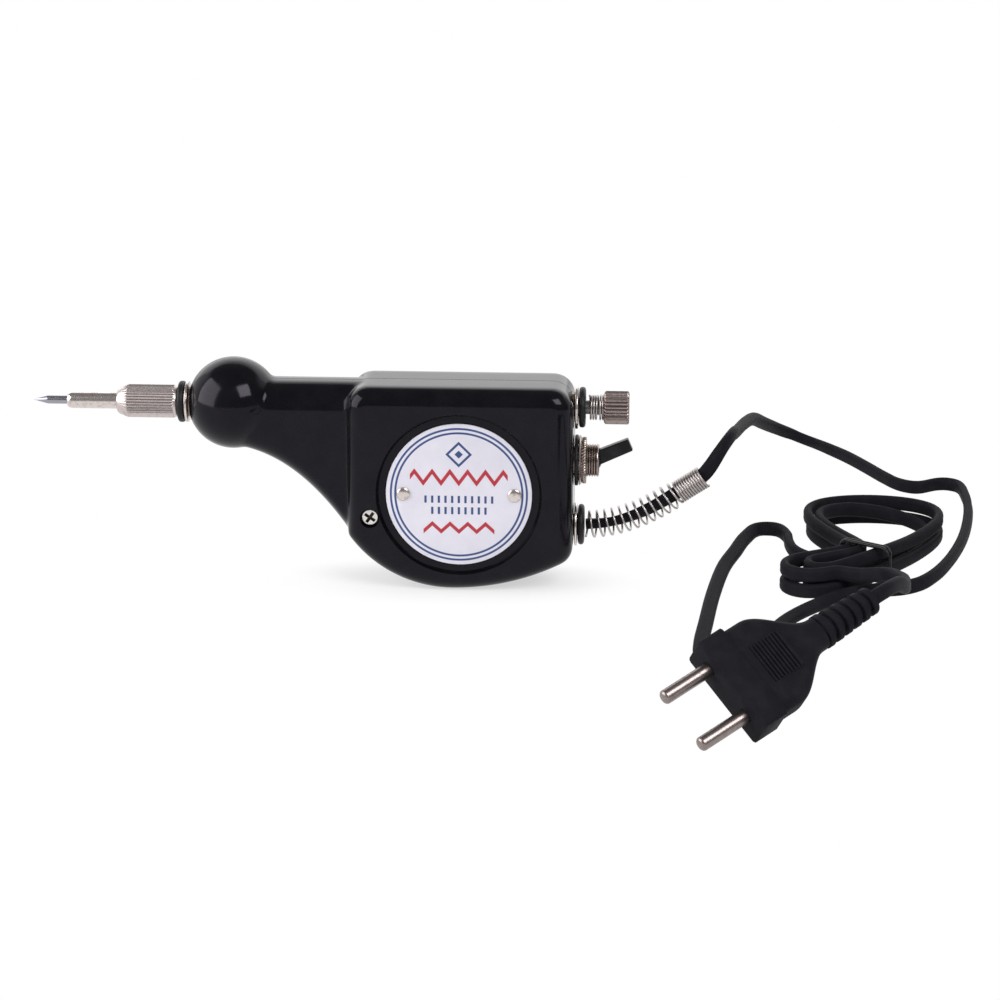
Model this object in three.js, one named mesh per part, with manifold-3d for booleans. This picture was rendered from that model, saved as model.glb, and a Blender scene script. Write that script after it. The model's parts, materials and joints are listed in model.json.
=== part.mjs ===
// Hand-held electric engraver: a vibrating spindle in a moulded two-piece casing,
// driven by a mains coil and an armature lever, with a flat twin cord and a two-pin plug.
// Millimetres, +Z up, +X from the needle to the rear, the seam of the casing on Y = 0.
import * as THREE from "three";
import { mergeVertices } from "three/addons/utils/BufferGeometryUtils.js";
import Module from "manifold-3d";

const wasm = await Module();
wasm.setup();

// Fits
const gap = 0.3;
const slip = 0.15;
const overrun = 1.5;

// Needle and the shank that holds it
const needleRadius = 1.53;
const needleConeLength = 5.1;
const needleShown = 12.4;
const needleSeat = 7;
const needlePointRadius = 0.12;
const shankRadius = 3;
const shankNoseRadius = 2.1;
const shankNoseLength = 1.9;
const shankNoseShares = { place: 0.45, radius: 0.88 };
const shankShown = 18.4;
const shankGripped = 17;

// Chuck nut and collet
const nutRadius = 6;
const nutLength = 22.1;
const nutNoseRadius = 4.4;
const nutNoseLength = 4;
const nutBackChamfer = 0.5;
const nutKnurlDepth = 0.35;
const nutKnurlShort = 1.4;
const nutKnurlCount = 26;
const nutLipLength = 1.8;
const colletConeLength = 4.6;
const colletMouthRadius = 3.95;
const colletConeRadius = 4.75;
const colletSleeveRadius = 4;
const colletSleeveLength = 9;
const colletSlitWidth = 0.7;
const colletSlitCount = 3;
const colletSlitDepth = 9;

// Spindle
const spindleThreadRadius = 4.65;
const spindleRadius = 3.5;
const spindleWebLength = 2;
const studRadius = 2.5;
const studLength = 13;

// Washers in front of the ball and the bushes that carry the spindle
const frontWasherRadius = 7.5;
const frontRubberThickness = 2.4;
const frontMetalThickness = 1;
const washerHoleRadius = 3.9;
const frontBushRadius = 5.5;
const frontBushLength = 15;
const frontBushLip = 0.4;
const rearBushRadius = 5.5;
const rearBushLength = 5.5;

// Rear washers, return spring and adjusting knob
const rearMetalRadius = 7.85;
const rearMetalThickness = 1.1;
const rearRubberRadius = 7.35;
const rearRubberThickness = 2.3;
const returnWireRadius = 0.38;
const returnCoilRadius = 4.25;
const returnCurls = 3;
const returnLength = 4.4;
const capRadius = 4.7;
const capThickness = 0.6;
const knobRadius = 6;
const knobLength = 9.8;
const knobNeckRadius = 4.6;
const knobNeckLength = 0.9;
const knobEdge = 0.5;
const knobWeb = 1.6;
const knobKnurlDepth = 0.4;
const knobKnurlCount = 26;

// Casing
const ballRadius = 16.7;
const ballFlatReach = 15.6;
const neckReach = 42;
const boxLength = 81.6;
const boxHeight = 75.3;
const boxHalfWidth = 17;
const boxEdge = 6.5;
const boxTopCorner = 8;
const boxRearCorner = 7.2;
const axisDrop = 9.65;
const bellyPlace = 37.6;
const bellyFrontRadius = 45.5;
const heelHeight = 16.2;
const wall = 3.2;
const cavityEdge = 3;
const seam = 0.3;
const neckHalfWidth = 12;
const neckTopDrop = 0.5;
const neckTopRound = 10;
const neckUnderRound = 9;
const neckStart = 2.8;
const neckStartBottom = 50.4;
const neckEnd = 1.3;
const neckEndBottom = 17.6;
const neckSlopeShare = 0.27;
const neckPower = 2.2;
const neckRoomShare = 0.75;
const spindleClearance = 1;
const restHalfLength = 7;
const restDepth = 0.12;

// Label and its rivets
const labelRadius = 26.3;
const labelThickness = 0.6;
const labelPlace = 40.7;
const labelHeight = 36.7;
const recessRadius = 29.3;
const recessDepth = 2;
const rivetSpacing = 40.1;
const rivetHeadRadius = 2.45;
const rivetHeadHeight = 0.75;
const rivetShankRadius = 1.2;
const rivetShankLength = 1.9;

// Casing screws: one shows in front, two are driven from the rear half
const screwHeadRadius = 3.1;
const screwHeadHeight = 1.7;
const screwRadius = 1.5;
const screwSink = 1.4;
const screwBossRadius = 4.6;
const screwCrossWidth = 0.9;
const screwCrossLength = 3.6;
const screwCrossDepth = 0.9;
const frontScrewPlace = 8.5;
const frontScrewHeight = 27.5;
const rearScrewInset = 6.6;
const rearScrewHeight = 33.4;
const neckScrewPlace = 17.2;
const neckScrewHeight = 50;
const screwBite = 8;

// Magnet core and coil
const corePlace = 13.8;
const coreBase = 14;
const coreYoke = 7;
const coreLegShare = 7 / 44;
const coreWindowShare = 8 / 44;
const coreCollarClearance = 1.35;
const coreStack = 13;
const bobbinWall = 1;
const bobbinFlange = 1.2;
const bobbinHalfDepth = 12.9;
const coilInset = 0.6;
const coreScrewHeadRadius = 2.6;
const coreScrewHeadHeight = 1.8;
const coreScrewBite = 4.3;
const corePostRadius = 3.1;

// Armature lever, its pin and the collar that it drives
const armatureAirGap = 0.9;
const armatureThickness = 4.5;
const leverThickness = 2.5;
const leverWidth = 12;
const forkWidth = 16;
const forkReach = 5;
const forkThroat = 4.6;
const leverClearance = 3;
const pivotHeight = 9.5;
const eyeRadius = 3.5;
const pinRadius = 1.5;
const pinBossRadius = 4;
const pinBossGap = 0.5;
const pinEndInset = 1.3;
const armatureRivetRadius = 1.3;
const armatureRivetHead = 2.2;
const armatureRivetHeadHeight = 0.9;
const collarRadius = 6.3;
const collarLength = 8;
const collarScrewRadius = 1.2;
const collarScrewLength = 2.4;

// Switch
const switchSpacing = 2.75;
const switchDepth = 13;
const switchHalfWidth = 6.5;
const switchHalfHeight = 7.5;
const switchPlateThickness = 0.7;
const switchPlateRadius = 7;
const bushRadius = 5.95;
const bushShown = 9;
const bushBoreRadius = 4.6;
const leverBallRadius = 4.3;
const leverBallSink = 3.2;
const toggleReach = 15.78;
const toggleAngle = 23.6;
const toggleRootWidth = 5.3;
const toggleTipWidth = 4.7;
const toggleThickness = 3.2;
const toggleTailRadius = 1.2;
const toggleTailReach = 7;
const switchWasherRadius = 9.25;
const switchWasherThickness = 1.2;
const ringNutRadius = 8.5;
const ringNutThickness = 2.6;
const ringNutSkirt = 0.9;
const ringNutSkirtRadius = 9.1;
const ringNutKnurlDepth = 0.4;
const ringNutKnurlCount = 28;
const terminalLength = 4.8;
const terminalWidth = 4;
const terminalThickness = 0.8;
const terminalSpread = 6.4;

// Cord entry
const cordHeightShare = 21.5 / 45.8;
const cordWidth = 5.4;
const cordThickness = 3.4;
const grommetRadius = 7.4;
const grommetThickness = 2.3;
const grommetNeckRadius = 3.95;
const grommetBoreRadius = 3.05;
const grommetRound = 0.9;
const cordWasherRadius = 7.9;
const cordWasherThickness = 0.9;
const cordStopRadius = 5.6;
const cordStopLength = 4.5;
const innerCordReach = 14;
const wireRadius = 0.9;

// Strain-relief spring round the cord
const reliefWireRadius = 0.33;
const reliefOpenLength = 36;
const reliefCloseLength = 10.9;
const reliefBend = 33.5;
const reliefBendPower = 1.6;
const reliefOpenCoilRadius = 4.75;
const reliefCloseCoilRadius = 3.95;
const reliefOpenCurls = 12;
const reliefCloseCurls = 10;
const cordRise = 1;

// Hank of spare cord, standing on its edge and drawn in at its waist by a tie
const hankWaist = [194.4, 5.5];
const hankHeading = 56;
const hankBendShare = 0.66;
const hankBendReach = 10;
const hankFrom = 0.57;
const hankTurns = 3.33;
const hankUpperReach = 62;
const hankLowerReach = 30.5;
const hankUpperBulge = 48;
const hankLowerBulge = 12;
const hankWaistHalf = 6.3;
const hankWaistStep = 4.1;
const hankLobeStep = 3.5;
const hankInShares = [1.3, 1.48];
const hankOutShares = [2.9, 3.12];
const hankClimbShares = [2.12, 2.3];
const hankFloor = 2.8;
const hankLayer = 5.95;
const hankLift = 1.7;
const hankLiftReach = 14;
const hankLeadIn = 1.2;
const tieRadius = 0.65;
const tieTurns = 2;
const tiePitch = 1.8;
const tieEase = 1.5;
const tieCorner = 2.7;

// Plug
const plugPlace = [141.9, -161.4, 16.1];
const plugAlong = [0.751, 0.578, 0.32];
const plugFace = [0.233, -0.685, 0.69];
const plugPinRadius = 2.4;
const plugPinLength = 19;
const plugPinSpacing = 19;
const plugPinSeat = 6;
const plugPinRound = 1;
const plugPinTipShare = 0.3;
const plugFlangeWidth = 34.9;
const plugFlangeDepth = 9.5;
const plugHalfThickness = 7.2;
const plugEdge = 1.2;
const plugShoulderWidth = 33;
const plugShoulderPlace = 17;
const plugBodyLength = 38;
const plugThroatWidth = 11;
const plugThroatThickness = 9.4;
const plugReliefLength = 24;
const plugReliefRadius = 5.9;
const plugReliefEndRadius = 4.8;
const plugRibCount = 6;
const plugRibDepth = 1.2;
const plugGrooveShare = 0.4;
const plugGripWidth = 14;
const plugGripLength = 11.2;
const plugGripPlace = 13.5;
const plugGripRise = 0.7;
const plugGripRibs = 9;
const plugBoreRadius = 3.1;
const plugBoreDepth = 5;

// Places along the axis, counted from the point of the needle
const shankStart = needleShown;
const nutStart = shankStart + shankShown;
const nutEnd = nutStart + nutLength;
const frontRubberStart = nutEnd + gap;
const frontMetalStart = frontRubberStart + frontRubberThickness + gap;
const frontBushFace = frontMetalStart + frontMetalThickness + gap;
const ballFlat = frontBushFace + frontBushLip;
const ballCentre = ballFlat + ballFlatReach;
const boxFront = ballCentre + neckReach;
const boxRear = boxFront + boxLength;
const rearMetalStart = boxRear + gap;
const rearRubberStart = rearMetalStart + rearMetalThickness + gap;
const returnStart = rearRubberStart + rearRubberThickness + gap;
const capStart = returnStart + returnLength + gap;
const knobStart = capStart + capThickness + gap;
const knobEnd = knobStart + knobLength;
const axisHeight = boxHeight - axisDrop;
const switchHeight = axisHeight - rearMetalRadius - switchWasherRadius - switchSpacing;
const cordHeight = switchHeight * cordHeightShare;
// The rear arc of the belly is tangent to the arc of the heel and level where the belly is lowest
const heelReach = boxLength - bellyPlace - boxRearCorner;
const bellyRearRadius = (heelReach ** 2 + heelHeight ** 2 - boxRearCorner ** 2)
  / (2 * (heelHeight - boxRearCorner));
const innerHalfWidth = boxHalfWidth - wall;
const coreHeight = axisHeight - collarRadius - coreCollarClearance - coreBase;
const coreLeg = coreHeight * coreLegShare;
const coreWindow = coreHeight * coreWindowShare;
const coreMiddleLeg = coreHeight - 2 * coreLeg - 2 * coreWindow;
const leverRoom = armatureAirGap + armatureThickness + gap + leverThickness;
const switchRoom = wall + 3 * gap + switchPlateThickness + switchDepth + terminalLength;
const coreLegLength = boxLength - corePlace - coreYoke - leverRoom - leverClearance - switchRoom;
const coreFront = boxFront + corePlace;
const coreRear = coreFront + coreYoke + coreLegLength;
const coreTop = coreBase + coreHeight;
const coreMiddle = (coreBase + coreTop) / 2;
const armatureStart = coreRear + armatureAirGap;
const leverStart = armatureStart + armatureThickness + gap;
const leverEnd = leverStart + leverThickness;
const pivotPlace = (leverStart + leverEnd) / 2;
const collarEnd = leverStart - gap;
const collarStart = collarEnd - collarLength;
const bushEnd = boxRear + bushShown;
const toggleCentre = bushEnd - leverBallSink;
const toggleTipPlace = toggleCentre
  + toggleReach * Math.cos(THREE.MathUtils.degToRad(toggleAngle))
  + (toggleTipWidth / 2) * Math.sin(THREE.MathUtils.degToRad(toggleAngle));
const overallLength = Math.max(knobEnd, toggleTipPlace);
const grommetStart = boxRear + gap + cordWasherThickness + gap;
const grommetEnd = grommetStart + grommetThickness;

// Finishes
const finish = {
  bakelite: { color: 0x0c0c0d, roughness: 0.12, metalness: 0 },
  rubber: { color: 0x141414, roughness: 0.6, metalness: 0 },
  nickel: { color: 0xb9aea4, roughness: 0.3, metalness: 1 },
  steel: { color: 0x9a9896, roughness: 0.35, metalness: 1 },
  carbide: { color: 0x4a4c52, roughness: 0.4, metalness: 1 },
  brass: { color: 0xb08d4a, roughness: 0.35, metalness: 1 },
  plate: { color: 0xd9dbe0, roughness: 0.35, metalness: 0.6 },
  iron: { color: 0x55565a, roughness: 0.6, metalness: 0.8 },
  copper: { color: 0x9c4f2c, roughness: 0.45, metalness: 0.8 },
  cord: { color: 0x17171a, roughness: 0.45, metalness: 0 },
  switchBlack: { color: 0x101011, roughness: 0.4, metalness: 0 },
};

// A closed solid from a geometry, turned the right way out
function solid(geometry) {
  const bare = geometry.clone();
  bare.deleteAttribute("normal");
  if (bare.attributes.uv) bare.deleteAttribute("uv");
  const merged = mergeVertices(bare, 1e-4);
  const place = merged.attributes.position;
  const index = Uint32Array.from(merged.index.array);
  const corners = [new THREE.Vector3(), new THREE.Vector3(), new THREE.Vector3()];
  let volume = 0;
  for (let i = 0; i < index.length; i += 3) {
    corners.forEach((corner, k) => corner.fromBufferAttribute(place, index[i + k]));
    volume += corners[0].dot(corners[1].cross(corners[2]));
  }
  if (volume < 0) index.reverse();
  return new wasm.Manifold(new wasm.Mesh({
    numProp: 3,
    vertProperties: Float32Array.from(place.array),
    triVerts: index,
  }));
}

// The geometry of a solid
function skin(body) {
  const mesh = body.getMesh();
  const geometry = new THREE.BufferGeometry();
  geometry.setAttribute("position", new THREE.BufferAttribute(mesh.vertProperties, 3));
  geometry.setIndex(new THREE.BufferAttribute(mesh.triVerts, 1));
  geometry.computeVertexNormals();
  return geometry;
}

function node(name, look, body) {
  const mesh = new THREE.Mesh(skin(body), new THREE.MeshStandardMaterial(look));
  mesh.name = name;
  return mesh;
}

// Solid of revolution about the X axis through Y = 0 at the given height: profile rows are [x, radius]
function turned(profile, height = 0, sides = 20) {
  const points = profile.map(([x, radius]) => new THREE.Vector2(radius, x));
  const geometry = new THREE.LatheGeometry(points, sides);
  geometry.rotateZ(-Math.PI / 2);
  geometry.translate(0, 0, height);
  return solid(geometry);
}

function rod(x0, x1, radius, height = 0, sides = 20) {
  return turned([[x0, 0], [x0, radius], [x1, radius], [x1, 0]], height, sides);
}

function ring(x0, x1, inner, outer, height = 0, sides = 20) {
  return turned([[x0, inner], [x0, outer], [x1, outer], [x1, inner], [x0, inner]], height, sides);
}

// Cylinder along Y from y0 to y1 at (x, z)
function crossRod(x, z, y0, y1, radius, sides = 12) {
  const geometry = new THREE.CylinderGeometry(radius, radius, y1 - y0, sides);
  geometry.translate(x, (y0 + y1) / 2, z);
  return solid(geometry);
}

function block(x0, x1, y0, y1, z0, z1) {
  const geometry = new THREE.BoxGeometry(x1 - x0, y1 - y0, z1 - z0);
  geometry.translate((x0 + x1) / 2, (y0 + y1) / 2, (z0 + z1) / 2);
  return solid(geometry);
}

// Straight-knurled cylinder along X
function knurled(x0, x1, radius, depth, count, height) {
  const shape = new THREE.Shape();
  for (let i = 0; i < 2 * count; i += 1) {
    const angle = (i * Math.PI) / count;
    const reach = i % 2 === 0 ? radius : radius - depth;
    const point = [reach * Math.cos(angle), reach * Math.sin(angle)];
    if (i === 0) shape.moveTo(...point);
    else shape.lineTo(...point);
  }
  const geometry = new THREE.ExtrudeGeometry(shape, { depth: x1 - x0, bevelEnabled: false });
  geometry.rotateY(Math.PI / 2);
  geometry.translate(x0, 0, height);
  return solid(geometry);
}

// Shape drawn in X and Z, extruded along Y from y0 to y1
function plate(shape, y0, y1, curveSegments = 6) {
  const geometry = new THREE.ExtrudeGeometry(shape, { depth: y1 - y0, bevelEnabled: false, curveSegments });
  geometry.rotateX(Math.PI / 2);
  geometry.translate(0, y1, 0);
  return solid(geometry);
}

// Joins rings of points, all of one count, into a closed skin with a fan at each end
function loft(rings) {
  const count = rings[0].length;
  const positions = [];
  const index = [];
  rings.forEach((points) => points.forEach((point) => positions.push(point.x, point.y, point.z)));
  for (let i = 0; i + 1 < rings.length; i += 1) {
    for (let k = 0; k < count; k += 1) {
      const a = i * count + k;
      const b = i * count + ((k + 1) % count);
      index.push(a, b, a + count, b, b + count, a + count);
    }
  }
  [0, rings.length - 1].forEach((i) => {
    const middle = rings[i].reduce((sum, point) => sum.add(point), new THREE.Vector3());
    middle.divideScalar(count);
    const hub = positions.length / 3;
    positions.push(middle.x, middle.y, middle.z);
    for (let k = 0; k < count; k += 1) {
      const a = i * count + k;
      const b = i * count + ((k + 1) % count);
      if (i === 0) index.push(hub, b, a);
      else index.push(hub, a, b);
    }
  });
  const geometry = new THREE.BufferGeometry();
  geometry.setAttribute("position", new THREE.BufferAttribute(Float32Array.from(positions), 3));
  geometry.setIndex(index);
  return geometry;
}

// Tube through points with an oval section, its wide side kept level with the given up vector
function tubeRings(points, halfWidth, halfThickness, sides, upOf) {
  return points.map((point, i) => {
    const ahead = points[Math.min(i + 1, points.length - 1)];
    const behind = points[Math.max(i - 1, 0)];
    const along = ahead.clone().sub(behind).normalize();
    const side = along.clone().cross(upOf(i)).normalize();
    const top = side.clone().cross(along);
    return Array.from({ length: sides }, (_, k) => {
      const angle = (2 * Math.PI * (k + 0.5)) / sides;
      return point.clone()
        .addScaledVector(side, halfWidth * Math.cos(angle))
        .addScaledVector(top, halfThickness * Math.sin(angle));
    });
  });
}

// Least distance between rings that lie more than half a turn apart
function leastGap(rings, perTurn) {
  let least = Infinity;
  for (let i = 0; i < rings.length; i += 1) {
    for (let j = i + Math.ceil(perTurn / 2); j < rings.length; j += 1) {
      rings[i].forEach((a) => rings[j].forEach((b) => {
        least = Math.min(least, a.distanceTo(b));
      }));
    }
  }
  return least;
}

const groundUp = new THREE.Vector3(0, 0, 1);

// Outline of the box in X and Z, drawn inward by an inset
function boxShape(inset) {
  const front = boxFront + inset;
  const rear = boxRear - inset;
  const top = boxHeight - inset;
  const middle = boxFront + bellyPlace;
  const corner = boxTopCorner - Math.min(inset, boxTopCorner / 2);
  const heel = boxRearCorner - Math.min(inset, boxRearCorner / 2);
  const frontRadius = bellyFrontRadius - inset;
  const rearRadius = bellyRearRadius - inset;
  const toe = -Math.sqrt(frontRadius ** 2 - (middle - front) ** 2);
  const heelPlace = rear - heel;
  const heelDrop = -Math.sqrt((rearRadius - heel) ** 2 - (heelPlace - middle) ** 2);
  const heelAngle = Math.atan2(heelDrop, heelPlace - middle);
  const shape = new THREE.Shape();
  shape.absarc(middle, bellyFrontRadius, frontRadius, Math.atan2(toe, front - middle), -Math.PI / 2, false);
  shape.absarc(middle, bellyRearRadius, rearRadius, -Math.PI / 2, heelAngle, false);
  shape.absarc(heelPlace, bellyRearRadius + heelDrop, heel, heelAngle, 0, false);
  shape.absarc(rear - corner, top - corner, corner, 0, Math.PI / 2, false);
  shape.absarc(front + corner, top - corner, corner, Math.PI / 2, Math.PI, false);
  return shape;
}

// Both halves of the box in one, its edges rounded
function boxBody(inset, edge, bevelSegments, curveSegments) {
  const half = boxHalfWidth - inset;
  const geometry = new THREE.ExtrudeGeometry(boxShape(inset), {
    depth: 2 * (half - edge),
    bevelEnabled: true,
    bevelThickness: edge,
    bevelSize: edge,
    bevelOffset: -edge,
    bevelSegments,
    curveSegments,
  });
  geometry.rotateX(Math.PI / 2);
  geometry.translate(0, half - edge, 0);
  return solid(geometry);
}

// Height of the underside of the neck at a place along the axis
function neckUnderside(x) {
  const start = ballCentre + neckStart;
  const end = boxFront + neckEnd;
  const share = THREE.MathUtils.clamp((x - start) / (end - start), 0, 1);
  const drop = neckStartBottom - neckEndBottom;
  return neckStartBottom - drop * (neckSlopeShare * share + (1 - neckSlopeShare) * share ** neckPower);
}

// Section of the neck: level top, rounded above and below
function neckSection(x, inset, steps) {
  const half = neckHalfWidth - inset;
  const top = boxHeight - neckTopDrop - inset;
  const bottom = neckUnderside(x) + inset;
  const upper = neckTopRound - inset;
  const lower = neckUnderRound - inset;
  const corners = [
    [half - upper, top - upper, upper, 0],
    [upper - half, top - upper, upper, Math.PI / 2],
    [lower - half, bottom + lower, lower, Math.PI],
    [half - lower, bottom + lower, lower, (3 * Math.PI) / 2],
  ];
  return corners.flatMap(([y, z, radius, from]) => Array.from({ length: steps + 1 }, (_, k) => {
    const angle = from + (k * Math.PI) / (2 * steps);
    return new THREE.Vector3(x, y + radius * Math.cos(angle), z + radius * Math.sin(angle));
  }));
}

function neckBody(from, to, inset, sections, steps) {
  const rings = Array.from({ length: sections + 1 }, (_, i) => (
    neckSection(from + ((to - from) * i) / sections, inset, steps)
  ));
  return solid(loft(rings));
}

// Screws of the casing: place, height, the side of the head and the face that it is sunk into
const casingScrews = [
  { x: boxFront + frontScrewPlace, z: frontScrewHeight, side: -1, face: boxHalfWidth },
  { x: boxRear - rearScrewInset, z: rearScrewHeight, side: 1, face: boxHalfWidth },
  { x: boxFront - neckScrewPlace, z: neckScrewHeight, side: 1, face: neckHalfWidth },
];

function span(side, a, b) {
  return side < 0 ? [-b, -a] : [a, b];
}

function casingBody() {
  const ball = new THREE.SphereGeometry(ballRadius, 20, 12);
  ball.rotateX(Math.PI / 2);
  ball.translate(ballCentre, 0, axisHeight);
  let body = solid(ball)
    .add(neckBody(ballCentre + neckStart, boxFront + neckEnd + boxTopCorner, 0, 8, 3))
    .add(boxBody(0, boxEdge, 3, 4));
  body = body.subtract(rod(ballCentre - ballRadius - overrun, ballFlat, ballRadius, axisHeight));
  // A short level rest under the belly
  const rest = block(
    boxFront + bellyPlace - restHalfLength, boxFront + bellyPlace + restHalfLength,
    -boxHalfWidth, boxHalfWidth, -overrun, restDepth,
  );
  body = body.subtract(rest);
  // Room for the mechanism
  const neckRoomStart = ballFlat + frontBushLength;
  const room = boxBody(wall, cavityEdge, 1, 2)
    .add(neckBody(ballCentre + ballRadius * neckRoomShare, boxFront + 2 * wall, wall, 4, 2));
  body = body.subtract(room);
  // Bosses for the screws, the armature pin and the core
  const solids = casingScrews.map(({ x, z, face }) => (
    crossRod(x, z, -face + wall / 2, face - wall / 2, screwBossRadius)
  ));
  const pinReach = innerHalfWidth + wall / 2;
  const pinBossStart = leverWidth / 2 + pinBossGap;
  solids.push(crossRod(pivotPlace, pivotHeight, pinBossStart, pinReach, pinBossRadius));
  solids.push(crossRod(pivotPlace, pivotHeight, -pinReach, -pinBossStart, pinBossRadius));
  coreScrewHeights.forEach((z) => {
    solids.push(crossRod(coreScrewPlace, z, coreStack / 2 + gap, pinReach, corePostRadius));
  });
  solids.forEach((boss) => { body = body.add(boss); });
  const cuts = [];
  casingScrews.forEach(({ x, z, side, face }) => {
    const seat = face - screwSink - screwHeadHeight - gap;
    const [head0, head1] = span(side, seat, face + overrun);
    cuts.push(crossRod(x, z, head0, head1, screwHeadRadius + gap + slip));
    const [shank0, shank1] = span(-side, -face + wall / 2, screwBite + gap);
    cuts.push(crossRod(x, z, Math.min(shank0, shank1), Math.max(shank0, shank1), screwRadius + gap));
  });
  const pinHole = innerHalfWidth - pinEndInset + gap;
  cuts.push(crossRod(pivotPlace, pivotHeight, -pinHole, pinHole, pinRadius + gap));
  coreScrewHeights.forEach((z) => {
    const reach = coreStack / 2 + coreScrewBite + gap;
    cuts.push(crossRod(coreScrewPlace, z, coreStack / 2, reach, screwRadius + gap));
  });
  // Bores along the axis, and the holes of the rear wall
  cuts.push(rod(ballFlat - overrun, neckRoomStart, frontBushRadius + slip, axisHeight));
  const passage = spindleRadius + spindleClearance;
  cuts.push(rod(neckRoomStart - overrun, ballCentre + ballRadius, passage, axisHeight));
  cuts.push(rod(boxRear - rearBushLength - wall, boxRear + overrun, rearBushRadius + slip, axisHeight));
  cuts.push(rod(boxRear - wall - overrun, boxRear + overrun, bushRadius + gap, switchHeight));
  cuts.push(rod(boxRear - wall - overrun, boxRear + overrun, grommetNeckRadius + gap, cordHeight));
  // Recess of the label and the holes of its rivets
  const labelX = boxFront + labelPlace;
  const recessFloor = -boxHalfWidth + recessDepth;
  cuts.push(crossRod(labelX, labelHeight, -boxHalfWidth - overrun, recessFloor, recessRadius, 36));
  [-1, 1].forEach((side) => {
    const x = labelX + (side * rivetSpacing) / 2;
    cuts.push(crossRod(x, labelHeight, -boxHalfWidth, -innerHalfWidth, rivetShankRadius + gap));
  });
  cuts.forEach((cut) => { body = body.subtract(cut); });
  return body;
}

const coreScrewPlace = coreFront + coreYoke / 2;
const coreScrewHeights = [coreBase + coreLeg / 2, coreTop - coreLeg / 2];
const labelFace = boxHalfWidth - recessDepth + gap;

function addCasing(group) {
  const body = casingBody();
  const far = overallLength;
  const front = block(0, far, -far, -seam / 2, -far, far);
  const rear = block(0, far, seam / 2, far, -far, far);
  group.add(node("front_casing", finish.bakelite, body.intersect(front)));
  group.add(node("rear_casing", finish.bakelite, body.intersect(rear)));
}

function addLabel(group) {
  const x = boxFront + labelPlace;
  let disc = crossRod(x, labelHeight, -labelFace - labelThickness, -labelFace, labelRadius, 36);
  [-1, 1].forEach((side, i) => {
    const place = x + (side * rivetSpacing) / 2;
    disc = disc.subtract(crossRod(
      place, labelHeight, -boxHalfWidth - overrun, 0, rivetShankRadius + gap,
    ));
    const seat = labelFace + labelThickness + gap;
    const dome = Array.from({ length: 5 }, (_, k) => {
      const angle = (k * Math.PI) / 8;
      return new THREE.Vector2(rivetHeadRadius * Math.cos(angle), rivetHeadHeight * Math.sin(angle));
    });
    const outline = [
      new THREE.Vector2(0, -rivetShankLength),
      new THREE.Vector2(rivetShankRadius, -rivetShankLength),
      new THREE.Vector2(rivetShankRadius, 0),
      ...dome,
    ];
    outline[outline.length - 1].x = 0;
    const geometry = new THREE.LatheGeometry(outline, 12);
    geometry.rotateX(Math.PI);
    geometry.translate(place, -seat, labelHeight);
    group.add(node(`label_rivet_${i + 1}`, finish.nickel, solid(geometry)));
  });
  group.add(node("label_plate", finish.plate, disc));
}

function addCasingScrews(group) {
  casingScrews.forEach(({ x, z, side, face }, i) => {
    const top = face - screwSink;
    const seat = top - screwHeadHeight;
    const [head0, head1] = span(side, seat, top);
    const [shank0, shank1] = side < 0 ? [-seat - overrun, screwBite] : [-screwBite, seat + overrun];
    let screw = crossRod(x, z, head0, head1, screwHeadRadius)
      .add(crossRod(x, z, shank0, shank1, screwRadius));
    const [cross0, cross1] = span(side, top - screwCrossDepth, top + overrun);
    const long = screwCrossLength / 2;
    const thin = screwCrossWidth / 2;
    screw = screw.subtract(block(x - long, x + long, cross0, cross1, z - thin, z + thin));
    screw = screw.subtract(block(x - thin, x + thin, cross0, cross1, z - long, z + long));
    group.add(node(`case_screw_${i + 1}`, finish.nickel, screw));
  });
}

function addNeedle(group) {
  const point = turned([
    [0, 0], [0, needlePointRadius], [needleConeLength, needleRadius],
    [needleShown + needleSeat, needleRadius], [needleShown + needleSeat, 0],
  ], axisHeight);
  group.add(node("needle_point", finish.carbide, point));
  const start = shankStart;
  const end = nutStart + shankGripped;
  const bore = needleRadius + slip;
  const shank = turned([
    [start, bore], [start, shankNoseRadius],
    [start + shankNoseLength * shankNoseShares.place, shankRadius * shankNoseShares.radius],
    [start + shankNoseLength, shankRadius], [end, shankRadius], [end, 0],
    [start + needleSeat + gap, 0], [start + needleSeat + gap, bore], [start, bore],
  ], axisHeight);
  group.add(node("needle_shank", finish.nickel, shank));
}

const nutCone = nutStart + nutLipLength;
const nutThread = nutCone + colletConeLength;
const colletStart = nutCone + gap;
const spindleStart = nutThread + gap;

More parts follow.
